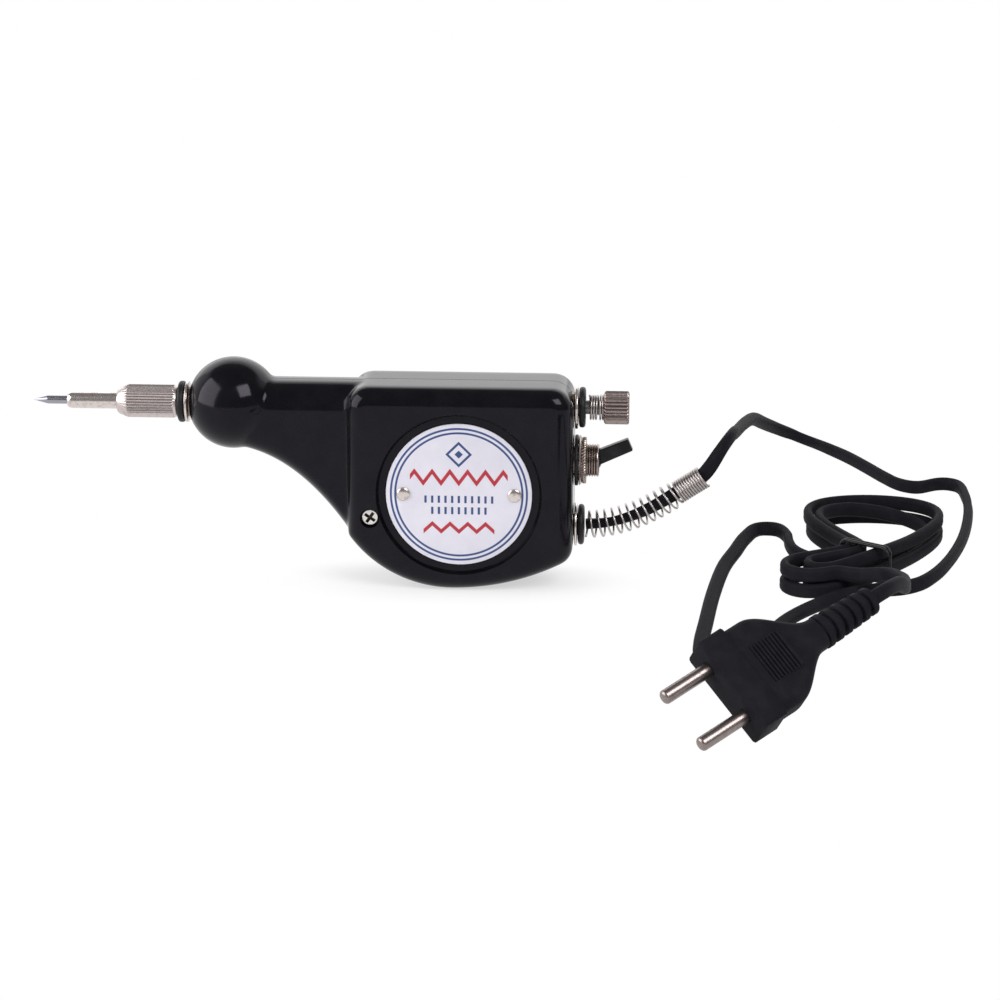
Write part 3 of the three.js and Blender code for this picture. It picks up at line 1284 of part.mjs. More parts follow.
function addPlug(group) {
  const plug = new THREE.Group();
  plug.matrixAutoUpdate = false;
  plug.matrix.copy(plugFrame());
  const rim = (x, inset) => (
    plugSection(x, plugFlangeWidth / 2 - inset, plugHalfThickness - inset, plugEdge)
  );
  const flange = solid(loft([
    rim(0, plugEdge / 2), rim(plugEdge / 2, 0),
    rim(plugFlangeDepth - plugEdge / 2, 0), rim(plugFlangeDepth, plugEdge / 2),
  ]));
  const sections = 9;
  const bodyRings = Array.from({ length: sections + 1 }, (_, i) => {
    const x = plugFlangeDepth / 2 + ((plugBodyLength - plugFlangeDepth / 2) * i) / sections;
    const share = Math.max((x - plugShoulderPlace) / (plugBodyLength - plugShoulderPlace), 0);
    const thick = THREE.MathUtils.lerp(plugHalfThickness - plugEdge / 2, plugThroatThickness / 2, share);
    return plugSection(x, plugHalfWidth(x), thick, Math.min(3 * plugEdge, thick - plugEdge / 4));
  });
  const ribPitch = plugReliefLength / plugRibCount;
  const root = plugBodyLength - overrun;
  const relief = [[root, 0], [root, plugReliefRadius - plugRibDepth]];
  for (let i = 0; i < plugRibCount; i += 1) {
    const x = plugBodyLength + i * ribPitch;
    const outer = THREE.MathUtils.lerp(plugReliefRadius, plugReliefEndRadius, i / (plugRibCount - 1));
    const groove = x + ribPitch * plugGrooveShare;
    relief.push([groove, outer - plugRibDepth], [groove, outer]);
    relief.push([x + ribPitch, outer], [x + ribPitch, outer - plugRibDepth]);
  }
  const reliefEnd = plugBodyLength + plugReliefLength;
  relief[relief.length - 1][1] = plugReliefEndRadius - plugRibDepth / 2;
  relief.push([reliefEnd, 0]);
  let body = flange.add(solid(loft(bodyRings))).add(turned(relief, 0, 10));
  const gripStart = plugGripPlace;
  const face = plugHalfThickness - plugEdge / 2;
  const ribWidth = plugGripWidth / (2 * plugGripRibs - 1);
  body = body.add(block(
    gripStart, gripStart + plugGripLength, -plugGripWidth / 2, plugGripWidth / 2,
    face - 2 * plugEdge, face + plugGripRise / 2,
  ));
  for (let i = 0; i < plugGripRibs; i += 1) {
    const y = -plugGripWidth / 2 + 2 * i * ribWidth;
    body = body.add(block(
      gripStart, gripStart + plugGripLength, y, y + ribWidth, face - plugEdge, face + plugGripRise,
    ));
  }
  body = body.subtract(rod(reliefEnd - plugBoreDepth, reliefEnd + overrun, plugBoreRadius, 0, 20));
  [1, -1].forEach((side, i) => {
    const y = (side * plugPinSpacing) / 2;
    const hole = rod(-overrun, plugPinSeat + gap, plugPinRadius + slip, 0, 16).translate([0, y, 0]);
    body = body.subtract(hole);
    const pin = turned([
      [-plugPinLength, 0], [-plugPinLength, plugPinRadius - plugPinRound],
      [-plugPinLength + plugPinRound / 2, plugPinRadius - plugPinRound * plugPinTipShare],
      [-plugPinLength + plugPinRound, plugPinRadius], [plugPinSeat, plugPinRadius], [plugPinSeat, 0],
    ], 0, 16).translate([0, y, 0]);
    plug.add(node(`plug_pin_${i + 1}`, finish.nickel, pin));
  });
  plug.add(node("plug_body", finish.cord, body));
  group.add(plug);
}

const engraver = new THREE.Group();
const tool = new THREE.Group();
tool.position.x = -overallLength / 2;
tool.position.z = -restDepth;
addCasing(tool);
addLabel(tool);
addCasingScrews(tool);
addNeedle(tool);
addChuck(tool);
addSpindle(tool);
addWashersAndBushes(tool);
addAdjuster(tool);
addMagnet(tool);
addArmature(tool);
const terminalPlace = addSwitch(tool);
addCordEntry(tool, terminalPlace);
engraver.add(tool);
addRelief(engraver);
addCord(engraver);
addPlug(engraver);

export default engraver;
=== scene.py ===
"""Looks of a hand-held electric engraver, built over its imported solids.

The tool stands on a pale floor with its needle to the left. Lengths are in millimetres, and
a mesh is brought to metres when it becomes an object. Only the lamps are placed in metres.
"""

from __future__ import annotations

import json
import logging
import math
from dataclasses import dataclass
from enum import Enum
from typing import Iterable, Sequence

import bmesh
import bpy
from mathutils import Matrix, Vector

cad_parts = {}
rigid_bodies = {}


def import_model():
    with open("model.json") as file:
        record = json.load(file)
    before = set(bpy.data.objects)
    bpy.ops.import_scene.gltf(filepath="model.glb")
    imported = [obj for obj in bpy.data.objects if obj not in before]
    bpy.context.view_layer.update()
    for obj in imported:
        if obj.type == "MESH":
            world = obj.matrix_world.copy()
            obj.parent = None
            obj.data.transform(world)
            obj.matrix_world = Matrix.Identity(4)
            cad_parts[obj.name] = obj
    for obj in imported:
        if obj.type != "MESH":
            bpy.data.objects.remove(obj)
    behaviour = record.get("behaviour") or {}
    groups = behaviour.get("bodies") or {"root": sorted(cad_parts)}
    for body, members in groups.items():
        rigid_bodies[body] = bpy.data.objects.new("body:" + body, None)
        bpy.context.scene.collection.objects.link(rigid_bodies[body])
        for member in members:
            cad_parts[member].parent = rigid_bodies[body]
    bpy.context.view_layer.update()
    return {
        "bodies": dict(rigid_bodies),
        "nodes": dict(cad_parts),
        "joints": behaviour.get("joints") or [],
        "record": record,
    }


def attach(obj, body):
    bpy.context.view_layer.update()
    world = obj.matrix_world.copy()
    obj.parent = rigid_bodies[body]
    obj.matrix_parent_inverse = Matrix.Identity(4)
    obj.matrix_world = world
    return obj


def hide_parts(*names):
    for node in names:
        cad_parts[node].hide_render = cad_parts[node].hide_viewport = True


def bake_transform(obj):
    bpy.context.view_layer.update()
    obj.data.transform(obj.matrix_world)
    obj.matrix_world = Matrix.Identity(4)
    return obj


log = logging.getLogger("engraver")

Place = tuple[float, float]
Point = tuple[float, float, float]
Profile = Sequence[Place]

MM = 0.001
TAU = 2 * math.pi
HALF_LENGTH = 109.0005  # The shared frame's origin, behind the needle's point
FLOOR_DROP = 0.12  # Height of the floor in the tool's drawing
AXIS_HEIGHT = 65.65  # Heights in the drawing of spindle, switch and cord entry
SWITCH_HEIGHT = 45.8
CORD_HEIGHT = 21.5
LABEL_CENTRE: Place = (155.9, 36.7)
LABEL_RIVETS: Place = (-20.05, 20.05)
# Case screws: place along the tool, height, side of the head, distance of its face from the seam
CASE_SCREWS: tuple[tuple[float, float, int, float], ...] = (
    (123.7, 27.5, -1, 17.0), (190.2, 33.4, 1, 17.0), (98.0, 50.0, 1, 12.0),
)
SCREW_SINK = 1.4  # Depth of a screw's top under that face


class Slot(Enum):
    """Material slots of the record."""

    BAKELITE = "bakelite"
    RUBBER = "rubber"
    NICKEL = "nickel"
    STEEL = "steel"
    CARBIDE = "carbide"
    BRASS = "brass"
    LABEL = "label"
    IRON = "iron"
    COPPER = "copper"
    CORD = "cord"
    SWITCH_BLACK = "switch_black"


class Look(Enum):
    """Finishes of single pieces that differ from their slot's, and the painted shade of the screws' cross recesses."""

    KNURLED = "knurled"
    DULL_KNURL = "dull_knurl"
    PANEL_METAL = "panel_metal"
    SPRING_WIRE = "spring_wire"
    PIN = "contact_pin"
    BRIGHT_HEAD = "bright_head"
    # Painted shade: near-black nickel on the walls and floor of the screws' cross recesses
    DRIVE_RECESS = "drive_recess"


class Half(Enum):
    """The two mouldings of the casing, by the side of the seam that they lie on."""

    FRONT = -1
    REAR = 1


class Fit(Enum):
    """Ways in which one solid changes another."""

    JOIN = "UNION"
    CUT = "DIFFERENCE"
    KEEP = "INTERSECT"


# Shader maths


class Value:
    """A shader socket, or a number, that takes part in arithmetic."""

    def __init__(self, tree: bpy.types.NodeTree, socket: bpy.types.NodeSocket | float) -> None:
        """Wraps a socket.

        Args:
            tree: The node tree that new Math nodes go to.
            socket: An output socket, or a plain number.
        """
        self.tree = tree
        self.socket = socket

    def _math(self, operation: str, *others: Value | float, first: Value | float | None = None) -> Value:
        """Adds a Math node.

        Args:
            operation: The node's operation.
            others: Its further inputs.
            first: Its first input, where that isn't this value.

        Returns:
            The node's output.
        """
        made = self.tree.nodes.new("ShaderNodeMath")
        made.operation = operation
        for place, term in enumerate((self if first is None else first, *others)):
            source = term.socket if isinstance(term, Value) else term
            if isinstance(source, (int, float)):
                made.inputs[place].default_value = source
            else:
                self.tree.links.new(source, made.inputs[place])
        return Value(self.tree, made.outputs[0])

    def __add__(self, other: Value | float) -> Value:
        """Sum."""
        return self._math("ADD", other)

    __radd__ = __add__

    def __sub__(self, other: Value | float) -> Value:
        """Difference."""
        return self._math("SUBTRACT", other)

    def __rsub__(self, other: float) -> Value:
        """Difference from a number."""
        return self._math("SUBTRACT", self, first=other)

    def __mul__(self, other: Value | float) -> Value:
        """Product."""
        return self._math("MULTIPLY", other)

    __rmul__ = __mul__

    def __truediv__(self, other: Value | float) -> Value:
        """Quotient."""
        return self._math("DIVIDE", other)

    def __abs__(self) -> Value:
        """Distance from zero."""
        return self._math("ABSOLUTE")

    def __lt__(self, other: Value | float) -> Value:
        """One where this is below the other, else zero."""
        return self._math("LESS_THAN", other)

    def least(self, other: Value | float) -> Value:
        """Smaller of two values."""
        return self._math("MINIMUM", other)

    def most(self, other: Value | float) -> Value:
        """Larger of two values."""
        return self._math("MAXIMUM", other)

    def sine(self) -> Value:
        """Sine."""
        return self._math("SINE")

    def folded(self, half: float) -> Value:
        """Triangle wave between 0 and half, as long as twice half."""
        return self._math("PINGPONG", half)

    def near(self, middle: float, half: float, blur: float = 0.06) -> Value:
        """Mask of a band.

        Args:
            middle: Middle of the band.
            half: Half its width.
            blur: Half the width of its soft edges.

        Returns:
            One inside the band and zero outside.
        """
        return 1.0 - abs(self - middle).step(half - blur, half + blur)

    def root(self) -> Value:
        """Square root."""
        return self._math("SQRT")

    def step(self, low: float, high: float) -> Value:
        """Smooth rise from 0 to 1.

        Args:
            low: Where the rise starts.
            high: Where it ends.

        Returns:
            The risen value, held between 0 and 1.
        """
        share = ((self - low) / (high - low)).least(1.0).most(0.0)
        return share * share * (3.0 - 2.0 * share)


class Nodes:
    """A node tree under construction."""

    def __init__(self, tree: bpy.types.NodeTree) -> None:
        """Keeps the tree."""
        self.tree = tree

    def node(self, kind: str, settings: dict | None = None, **sockets: object) -> bpy.types.Node:
        """Adds a node.

        Args:
            kind: The node's type.
            settings: Attributes that are set before its sockets.
            sockets: Values or links of its inputs, an underscore standing for a space.

        Returns:
            The new node.
        """
        made = self.tree.nodes.new(kind)
        for key, value in (settings or {}).items():
            setattr(made, key, value)
        for key, value in sockets.items():
            self.feed(made, key.replace("_", " "), value)
        return made

    def feed(self, made: bpy.types.Node, name: str, value: object) -> None:
        """Sets or links one input.

        Args:
            made: The node that owns the input.
            name: The input's name, or its number as text.
            value: A number, a colour, a socket or a Value.
        """
        target = made.inputs[int(name)] if name.isdigit() else made.inputs[name]
        source = value.socket if isinstance(value, Value) else value
        if isinstance(source, bpy.types.NodeSocket):
            self.tree.links.new(source, target)
        elif isinstance(source, tuple) and len(source) == 3 and target.type == "RGBA":
            target.default_value = (*source, 1)
        else:
            target.default_value = source

    def value(self, socket: bpy.types.NodeSocket) -> Value:
        """Wraps a socket for arithmetic."""
        return Value(self.tree, socket)


class Shading(Nodes):
    """A material under construction, with its Principled shader."""

    def __init__(self, name: str) -> None:
        """Starts an empty material.

        Args:
            name: The material's name.
        """
        self.material = bpy.data.materials.new(name)
        self.material.use_nodes = True
        super().__init__(self.material.node_tree)
        self.shader = self.tree.nodes["Principled BSDF"]

    def place(self) -> bpy.types.NodeSocket:
        """Object coordinates of the piece."""
        return self.node("ShaderNodeTexCoord").outputs["Object"]

    def axes(self) -> tuple[Value, Value, Value]:
        """Object coordinates as three values in millimetres."""
        parts = self.node("ShaderNodeSeparateXYZ", Vector=self.place())
        return tuple(self.value(parts.outputs[i]) * 1000.0 for i in range(3))

    def grain(self, size: float, detail: float = 3.0, stretch: Point = (1, 1, 1)) -> Value:
        """Noise of a given size.

        Args:
            size: Rough size of its blotches in millimetres.
            detail: Octaves.
            stretch: Scale of the coordinates along each axis.

        Returns:
            Noise around 0.5.
        """
        mapping = self.node("ShaderNodeMapping", Vector=self.place(), Scale=stretch)
        noise = self.node(
            "ShaderNodeTexNoise", Vector=mapping.outputs[0], Scale=1000.0 / size, Detail=detail, Roughness=0.55,
        )
        return self.value(noise.outputs["Fac"])

    def mix(self, share: Value | float, low: object, high: object) -> bpy.types.NodeSocket:
        """Blends two colours.

        Args:
            share: 0 for the first colour, 1 for the second.
            low: First colour.
            high: Second colour.

        Returns:
            The blended colour.
        """
        made = self.node("ShaderNodeMix", {"data_type": "RGBA"})
        for number, source in (("0", share), ("6", low), ("7", high)):
            self.feed(made, number, source)
        return made.outputs[2]

    def bump(self, height: Value, strength: float, depth: float, under: object = None) -> bpy.types.NodeSocket:
        """Bump from a height.

        Args:
            height: The height, about 0 to 1.
            strength: Share of the bump that shows.
            depth: Depth of the relief in millimetres.
            under: A normal that the bump lies on.

        Returns:
            The bumped normal.
        """
        made = self.node("ShaderNodeBump", Strength=strength, Distance=depth * MM, Height=height)
        if under is not None:
            self.feed(made, "Normal", under)
        return made.outputs[0]

    def set(self, **sockets: object) -> Shading:
        """Sets inputs of the Principled shader, an underscore standing for a space.

        Args:
            sockets: Values or links of the inputs.

        Returns:
            This material.
        """
        for key, value in sockets.items():
            self.feed(self.shader, key.replace("_", " "), value)
        return self


# Finishes


@dataclass(frozen=True)
class Bakelite:
    """Gloss black moulding of the casing, with faint flow marks and dust."""

    name: str = "gloss_black_bakelite"
    colour: Point = (0.0034, 0.0031, 0.0048)
    hazy: Point = (0.0052, 0.0050, 0.0062)
    roughness: float = 0.13
    gloss: float = 0.18
    gloss_tint: tuple[float, ...] = (0.92, 0.86, 1.0, 1.0)

    def build(self) -> bpy.types.Material:
        """Makes the material."""
        shade = Shading(self.name)
        flow = shade.grain(26.0, 2.0)
        haze = shade.grain(7.0, 4.0)
        specks = shade.grain(0.55, 2.0).step(0.70, 0.78)
        shade.set(
            Base_Color=shade.mix(haze.step(0.3, 0.75), self.colour, self.hazy),
            Roughness=haze.step(0.35, 0.8) * 0.07 + specks * 0.25 + self.roughness - 0.02,
            Normal=shade.bump(haze, 0.30, 0.02, shade.bump(flow, 0.55, 0.20)),
            IOR=1.5,
            Specular_IOR_Level=self.gloss,
            Specular_Tint=self.gloss_tint,
        )
        return shade.material


@dataclass(frozen=True)
class Rubber:
    """Matt black rubber of washers and grommet."""

    name: str = "matt_black_rubber"
    colour: Point = (0.0055, 0.0053, 0.0062)
    worn: Point = (0.013, 0.0125, 0.014)
    roughness: float = 0.48

    def build(self) -> bpy.types.Material:
        """Makes the material."""
        shade = Shading(self.name)
        cloud = shade.grain(2.2, 4.0)
        fine = shade.grain(0.18, 2.0)
        shade.set(
            Base_Color=shade.mix(cloud.step(0.4, 0.8), self.colour, self.worn),
            Roughness=cloud * 0.2 + self.roughness - 0.1,
            Normal=shade.bump(fine, 0.5, 0.03),
            Specular_IOR_Level=0.3,
        )
        return shade.material


@dataclass(frozen=True)
class Plated:
    """Nickel plating with a warm tint, fine turning marks and small stains."""

    name: str = "nickel_plate"
    bright: Point = (0.70, 0.63, 0.60)
    dull: Point = (0.36, 0.30, 0.28)
    roughness: float = 0.24
    stain: float = 0.55
    marks: float = 0.35

    def build(self) -> bpy.types.Material:
        """Makes the material."""
        shade = Shading(self.name)
        turning = shade.grain(0.16, 2.0, (1.0, 0.12, 0.12))
        cloud = shade.grain(1.6, 5.0)
        pits = shade.grain(0.35, 3.0).step(0.62, 0.74)
        dirt = (cloud.step(0.48, 0.72) * self.stain + pits * 0.35).least(1.0)
        shade.set(
            Base_Color=shade.mix(dirt, self.bright, self.dull),
            Metallic=1.0,
            Roughness=cloud * 0.14 + pits * 0.25 + self.roughness - 0.06,
            Normal=shade.bump(turning, self.marks, 0.02, shade.bump(cloud, 0.25, 0.04)),
        )
        return shade.material


@dataclass(frozen=True)
class GroundTip:
    """Ground carbide of the needle, with lengthwise grinding marks."""

    name: str = "ground_carbide"
    dark: Point = (0.30, 0.29, 0.33)
    bright: Point = (0.42, 0.41, 0.46)

    def build(self) -> bpy.types.Material:
        """Makes the material."""
        shade = Shading(self.name)
        lines = shade.grain(0.10, 2.0, (0.06, 1.0, 1.0))
        shade.set(
            Base_Color=shade.mix(lines, self.dark, self.bright),
            Metallic=1.0,
            Roughness=lines * 0.12 + 0.2,
            Normal=shade.bump(lines, 0.3, 0.02),
        )
        return shade.material


@dataclass(frozen=True)
class Turned:
    """Plain turned metal of the parts inside, in a colour given for each metal, which for the steel also holds painted
    shade.
    """

    name: str
    colour: Point
    roughness: float = 0.32

    def build(self) -> bpy.types.Material:
        """Makes the material."""
        shade = Shading(self.name)
        lines = shade.grain(0.2, 2.0, (1.0, 0.1, 0.1))
        cloud = shade.grain(3.0, 4.0)
        darker = tuple(part * 0.6 for part in self.colour)
        shade.set(
            Base_Color=shade.mix(cloud.step(0.4, 0.8), self.colour, darker),
            Metallic=1.0,
            Roughness=lines * 0.15 + self.roughness - 0.05,
            Normal=shade.bump(lines, 0.35, 0.02),
        )
        return shade.material


@dataclass(frozen=True)
class Laminated:
    """Stack of stamped iron sheets, which lie across the tool."""

    name: str = "stacked_iron"
    dark: Point = (0.09, 0.09, 0.10)
    bright: Point = (0.16, 0.15, 0.15)
    sheet: float = 0.5

    def build(self) -> bpy.types.Material:
        """Makes the material."""
        shade = Shading(self.name)
        _, across, _ = shade.axes()
        joints = ((across * (TAU / self.sheet)).sine() * 0.5 + 0.5).step(0.0, 0.25)
        cloud = shade.grain(4.0, 4.0)
        shade.set(
            Base_Color=shade.mix(cloud, self.dark, self.bright),
            Metallic=0.8,
            Roughness=cloud * 0.2 + 0.45,
            Normal=shade.bump(joints, 0.7, 0.08),
        )
        return shade.material


@dataclass(frozen=True)
class Wound:
    """Enamelled wire of the coil, its turns side by side along the tool."""

    name: str = "enamelled_wire"
    dark: Point = (0.30, 0.085, 0.03)
    bright: Point = (0.45, 0.15, 0.06)
    pitch: float = 0.3

    def build(self) -> bpy.types.Material:
        """Makes the material."""
        shade = Shading(self.name)
        along, _, _ = shade.axes()
        turns = (along * (TAU / self.pitch)).sine() * 0.5 + 0.5
        cloud = shade.grain(5.0, 3.0)
        shade.set(
            Base_Color=shade.mix(cloud, self.dark, self.bright),
            Metallic=0.7,
            Roughness=cloud * 0.1 + 0.3,
            Normal=shade.bump(turns, 0.8, 0.1),
        )
        return shade.material


@dataclass(frozen=True)
class Sheath:
    """Satin black vinyl of cord and plug, and the smoother black of the switch."""

    name: str = "satin_black_vinyl"
    colour: Point = (0.0118, 0.0110, 0.0142)
    roughness: float = 0.55
    grain_depth: float = 0.03
    gloss: float = 0.02
    worn: Point = (0.0165, 0.0155, 0.0195)

    def build(self) -> bpy.types.Material:
        """Makes the material."""
        shade = Shading(self.name)
        cloud = shade.grain(5.0, 4.0)
        fine = shade.grain(0.3, 3.0)
        shade.set(
            Base_Color=shade.mix(cloud.step(0.35, 0.8), self.colour, self.worn),
            Roughness=cloud * 0.14 + self.roughness - 0.07,
            Normal=shade.bump(fine, 0.5, self.grain_depth, shade.bump(cloud, 0.4, 0.08)),
            Specular_IOR_Level=self.gloss,
        )
        return shade.material


@dataclass(frozen=True)
class PrintedPlate:
    """Pale metal plate, printed with blue rings, lozenge and ticks and with red zigzag lines."""

    name: str = "printed_plate"
    centre: Place = (46.9, 36.58)
    pale: Point = (0.77, 0.75, 0.83)
    grey: Point = (0.68, 0.66, 0.74)
    speck: Point = (0.30, 0.29, 0.32)
    blue: Point = (0.030, 0.060, 0.190)
    red: Point = (0.42, 0.020, 0.035)
    rings: tuple[float, ...] = (22.9, 24.5)
    ring_width: float = 0.75
    lozenge_height: float = 15.0
    lozenge_radius: float = 4.2
    lozenge_core: float = 1.5
    tick_rows: tuple[Place, ...] = ((-1.8, 13.1), (-6.0, 10.7))
    tick_pitch: float = 1.2
    tick_half: Place = (0.42, 1.35)
    zigzags: tuple[tuple[float, ...], ...] = ((6.4, 17.6, 2.2), (-12.4, 12.8, 1.5))
    zigzag_run: float = 1.6
    stroke: float = 0.62

    def zigzag(self, x: Value, z: Value, height: float, reach: float, rise: float) -> Value:
        """Mask of a zigzag line.

        Args:
            x: Place along the tool from the plate's centre.
            z: Height above the plate's centre.
            height: Height of the line's middle.
            reach: Half its length.
            rise: Half its height.

        Returns:
            One on the line and zero beside it.
        """
        half = self.zigzag_run
        wave = ((x + 40 * half).folded(2 * half) - half) * (rise / half)
        line = (z - height - wave).near(0.0, self.stroke * math.hypot(1, rise / half), 0.1)
        return line * x.near(0.0, reach)

    def blue_print(self, x: Value, z: Value) -> Value:
        """Mask of the rings, the lozenge and the ticks.

        Args:
            x: Place along the tool from the plate's centre.
            z: Height above the plate's centre.

        Returns:
            One on the blue print and zero beside it.
        """
        radius = (x * x + z * z).root()
        half = self.ring_width / 2
        mask = radius.near(self.rings[0], half).most(radius.near(self.rings[1], half))
        lozenge = abs(x) + abs(z - self.lozenge_height)
        mask = mask.most(lozenge.near(self.lozenge_radius, 0.6)).most(lozenge.near(0.0, self.lozenge_core))
        wide, tall = self.tick_half
        for height, reach in self.tick_rows:
            ticks = (x + 40 * self.tick_pitch).folded(self.tick_pitch).near(0.0, wide)
            mask = mask.most(ticks * z.near(height, tall) * x.near(0.0, reach))
        return mask

    def build(self) -> bpy.types.Material:
        """Makes the material."""
        shade = Shading(self.name)
        along, across, up = shade.axes()
        x, z = along - self.centre[0], up - self.centre[1]
        blue = self.blue_print(x, z)
        upper, lower = (self.zigzag(x, z, *sizes) for sizes in self.zigzags)
        red = upper.most(lower)
        front = across < 0.0
        brush = shade.grain(0.22, 3.0, (0.05, 1.0, 1.0))
        cloud = shade.grain(6.0, 4.0)
        specks = shade.grain(0.5, 2.0).step(0.68, 0.74)
        metal = shade.mix(cloud, self.grey, self.pale)
        metal = shade.mix(specks * 0.35, metal, self.speck)
        ink = shade.mix(blue * front, metal, self.blue)
        ink = shade.mix(red * front, ink, self.red)
        printed = blue.most(red) * front
        shade.set(
            Base_Color=ink,
            Metallic=0.35 - printed * 0.3,
            Roughness=cloud * 0.1 + 0.38,
            Normal=shade.bump(brush, 0.25, 0.01, shade.bump(printed, 0.5, 0.03)),
        )
        return shade.material


class Finishes:
    """The materials of the engraver, one for each slot."""

    def __init__(self) -> None:
        """Builds every material once."""
        makers = {
            Slot.BAKELITE: Bakelite(),
            Slot.RUBBER: Rubber(),
            Slot.NICKEL: Plated(),
            # The steel is drawn darker than turned steel is: partly its own colour and partly painted shade on the
            # spindle inside the return spring
            Slot.STEEL: Turned("turned_steel", (0.15, 0.145, 0.14)),
            Slot.CARBIDE: GroundTip(),
            Slot.BRASS: Turned("turned_brass", (0.24, 0.20, 0.15)),
            Slot.LABEL: PrintedPlate(),
            Slot.IRON: Laminated(),
            Slot.COPPER: Wound(),
            Slot.CORD: Sheath(),
            Slot.SWITCH_BLACK: Sheath("satin_black_moulding", (0.0050, 0.0048, 0.0058), 0.30, 0.01, 0.2),
        }
        makers |= {
            Look.KNURLED: Plated("nickel_on_knurl", (0.61, 0.54, 0.53), (0.36, 0.30, 0.30), 0.32, 0.4, 0.05),
            Look.DULL_KNURL: Plated("nickel_on_knob", (0.33, 0.27, 0.255), (0.15, 0.12, 0.115), 0.30, 0.5, 0.08),
            Look.PANEL_METAL: Plated("nickel_on_panel", (0.36, 0.30, 0.275), (0.16, 0.13, 0.12), 0.26, 0.5, 0.15),
            Look.SPRING_WIRE: Plated("nickel_on_wire", (0.46, 0.42, 0.41), (0.24, 0.21, 0.20), 0.34, 0.4, 0.0),
            Look.PIN: Plated("nickel_on_pin", (0.27, 0.228, 0.22), (0.15, 0.125, 0.12), 0.32, 0.45, 0.1),
            # Painted shade: a near-black nickel that stands for the shade in the screws' cross recesses
            Look.DRIVE_RECESS: Plated("nickel_in_shade", (0.045, 0.042, 0.040), (0.020, 0.019, 0.018), 0.50, 0.4, 0.0),
            Look.BRIGHT_HEAD: Plated("nickel_on_screw", (0.78, 0.73, 0.71), (0.45, 0.40, 0.38), 0.26, 0.3, 0.2),
        }
        self.by_name = {name: maker.build() for name, maker in makers.items()}

    def get(self, name: Slot | Look) -> bpy.types.Material:
        """Material of a slot or of a look."""
        return self.by_name[name]


# Shapes


def tool_point(along: float, across: float, height: float) -> Vector:
    """Point of the tool in the shared frame.

    Args:
        along: Distance behind the needle's point.
        across: Distance from the seam, to the rear half.
        height: Height in the tool's own drawing.

    Returns:
        The point in millimetres of the shared frame.
    """
    return Vector((along - HALF_LENGTH, across, height - FLOOR_DROP))


def spun(points: Sequence[Vector], axis: Vector, centre: Vector, steps: int) -> bmesh.types.BMesh:
    """Turns a broken line a full circle.

    Args:
        points: Points of the line, a closed profile or one that ends on the axis.
        axis: Direction of the axis.
        centre: A point of the axis.
        steps: Facets round the axis.

    Returns:
        The turned shape.
    """
    shape = bmesh.new()
    verts = [shape.verts.new(point) for point in points]
    aside = [(point - centre).cross(axis).length > 1e-9 for point in points]
    edges = [
        shape.edges.new((verts[i], verts[i + 1])) for i in range(len(verts) - 1) if aside[i] or aside[i + 1]
    ]
    bmesh.ops.spin(shape, geom=verts + edges, axis=axis, cent=centre, steps=steps, angle=TAU, use_merge=True)
    return cleaned(shape)


def revolve(profile: Profile, height: float, steps: int) -> bmesh.types.BMesh:
    """Turns rows of place along the tool and radius round an axis at a height."""
    points = [tool_point(along, radius, height) for along, radius in profile]
    return spun(points, Vector((1, 0, 0)), tool_point(0, 0, height), steps)


def turned_head(profile: Profile, place: Place, side: int, seat: float, steps: int) -> bmesh.types.BMesh:
    """Turns the profile of a rivet's or a screw's head round an axis across the tool.

    Args:
        profile: Rows of radius and height above the seat.
        place: Place of the axis along the tool and its height.
        side: 1 where the head faces the rear half's side, -1 where it faces the front half's.
        seat: Distance of the seat from the seam.
        steps: Facets round the axis.

    Returns:
        The turned shape.
    """
    along, height = place
    points = [tool_point(along + radius, side * (seat + rise), height) for radius, rise in profile]
    return spun(points, Vector((0, 1, 0)), tool_point(along, 0, height), steps)


def bow(centre: Place, wide: float, tall: float, steps: int, first: int = 0) -> list[Place]:
    """Quarter of an ellipse as rows of a profile.

    Args:
        centre: The ellipse's centre.
        wide: Its half axis along the rows' first value, negative to go the other way.
        tall: Its half axis along their second value.
        steps: Steps of the quarter.
        first: The step that it starts at.

    Returns:
        The rows, from the ellipse's side up to its top.
    """
    angles = (math.pi / 2 * k / steps for k in range(first, steps + 1))
    return [(centre[0] + wide * math.cos(angle), centre[1] + tall * math.sin(angle)) for angle in angles]


def cleaned(shape: bmesh.types.BMesh) -> bmesh.types.BMesh:
    """Merges doubles and points every face outwards.

    Args:
        shape: The shape, which is changed in place.

    Returns:
        The same shape.
    """
    bmesh.ops.remove_doubles(shape, verts=shape.verts, dist=1e-4)
    bmesh.ops.dissolve_degenerate(shape, edges=shape.edges, dist=1e-5)
    bmesh.ops.recalc_face_normals(shape, faces=shape.faces)
    return shape


def loft(sections: Sequence[Sequence[Vector]]) -> bmesh.types.BMesh:
    """Skins a row of closed sections by extruding one into the next.

    Args:
        sections: Loops of points, all of one count.

    Returns:
        The skinned shape with both ends filled.
    """
    shape = bmesh.new()
    ring = [shape.verts.new(point) for point in sections[0]]
    edges = [shape.edges.new((ring[i - 1], ring[i])) for i in range(len(ring))]
    shape.faces.new(ring)
    for section in sections[1:]:
        made = bmesh.ops.extrude_edge_only(shape, edges=edges)["geom"]
        edges = [part for part in made if isinstance(part, bmesh.types.BMEdge)]
        fresh = [part for part in made if isinstance(part, bmesh.types.BMVert)]
        order = {vert: place for place, vert in enumerate(ring)}
        partner = {}
        for vert in fresh:
            for edge in vert.link_edges:
                other = edge.other_vert(vert)
                if other in order:
                    partner[order[other]] = vert
        ring = [partner[place] for place in range(len(ring))]
        for vert, point in zip(ring, section):
            vert.co = point
    shape.faces.new(ring)
    return cleaned(shape)


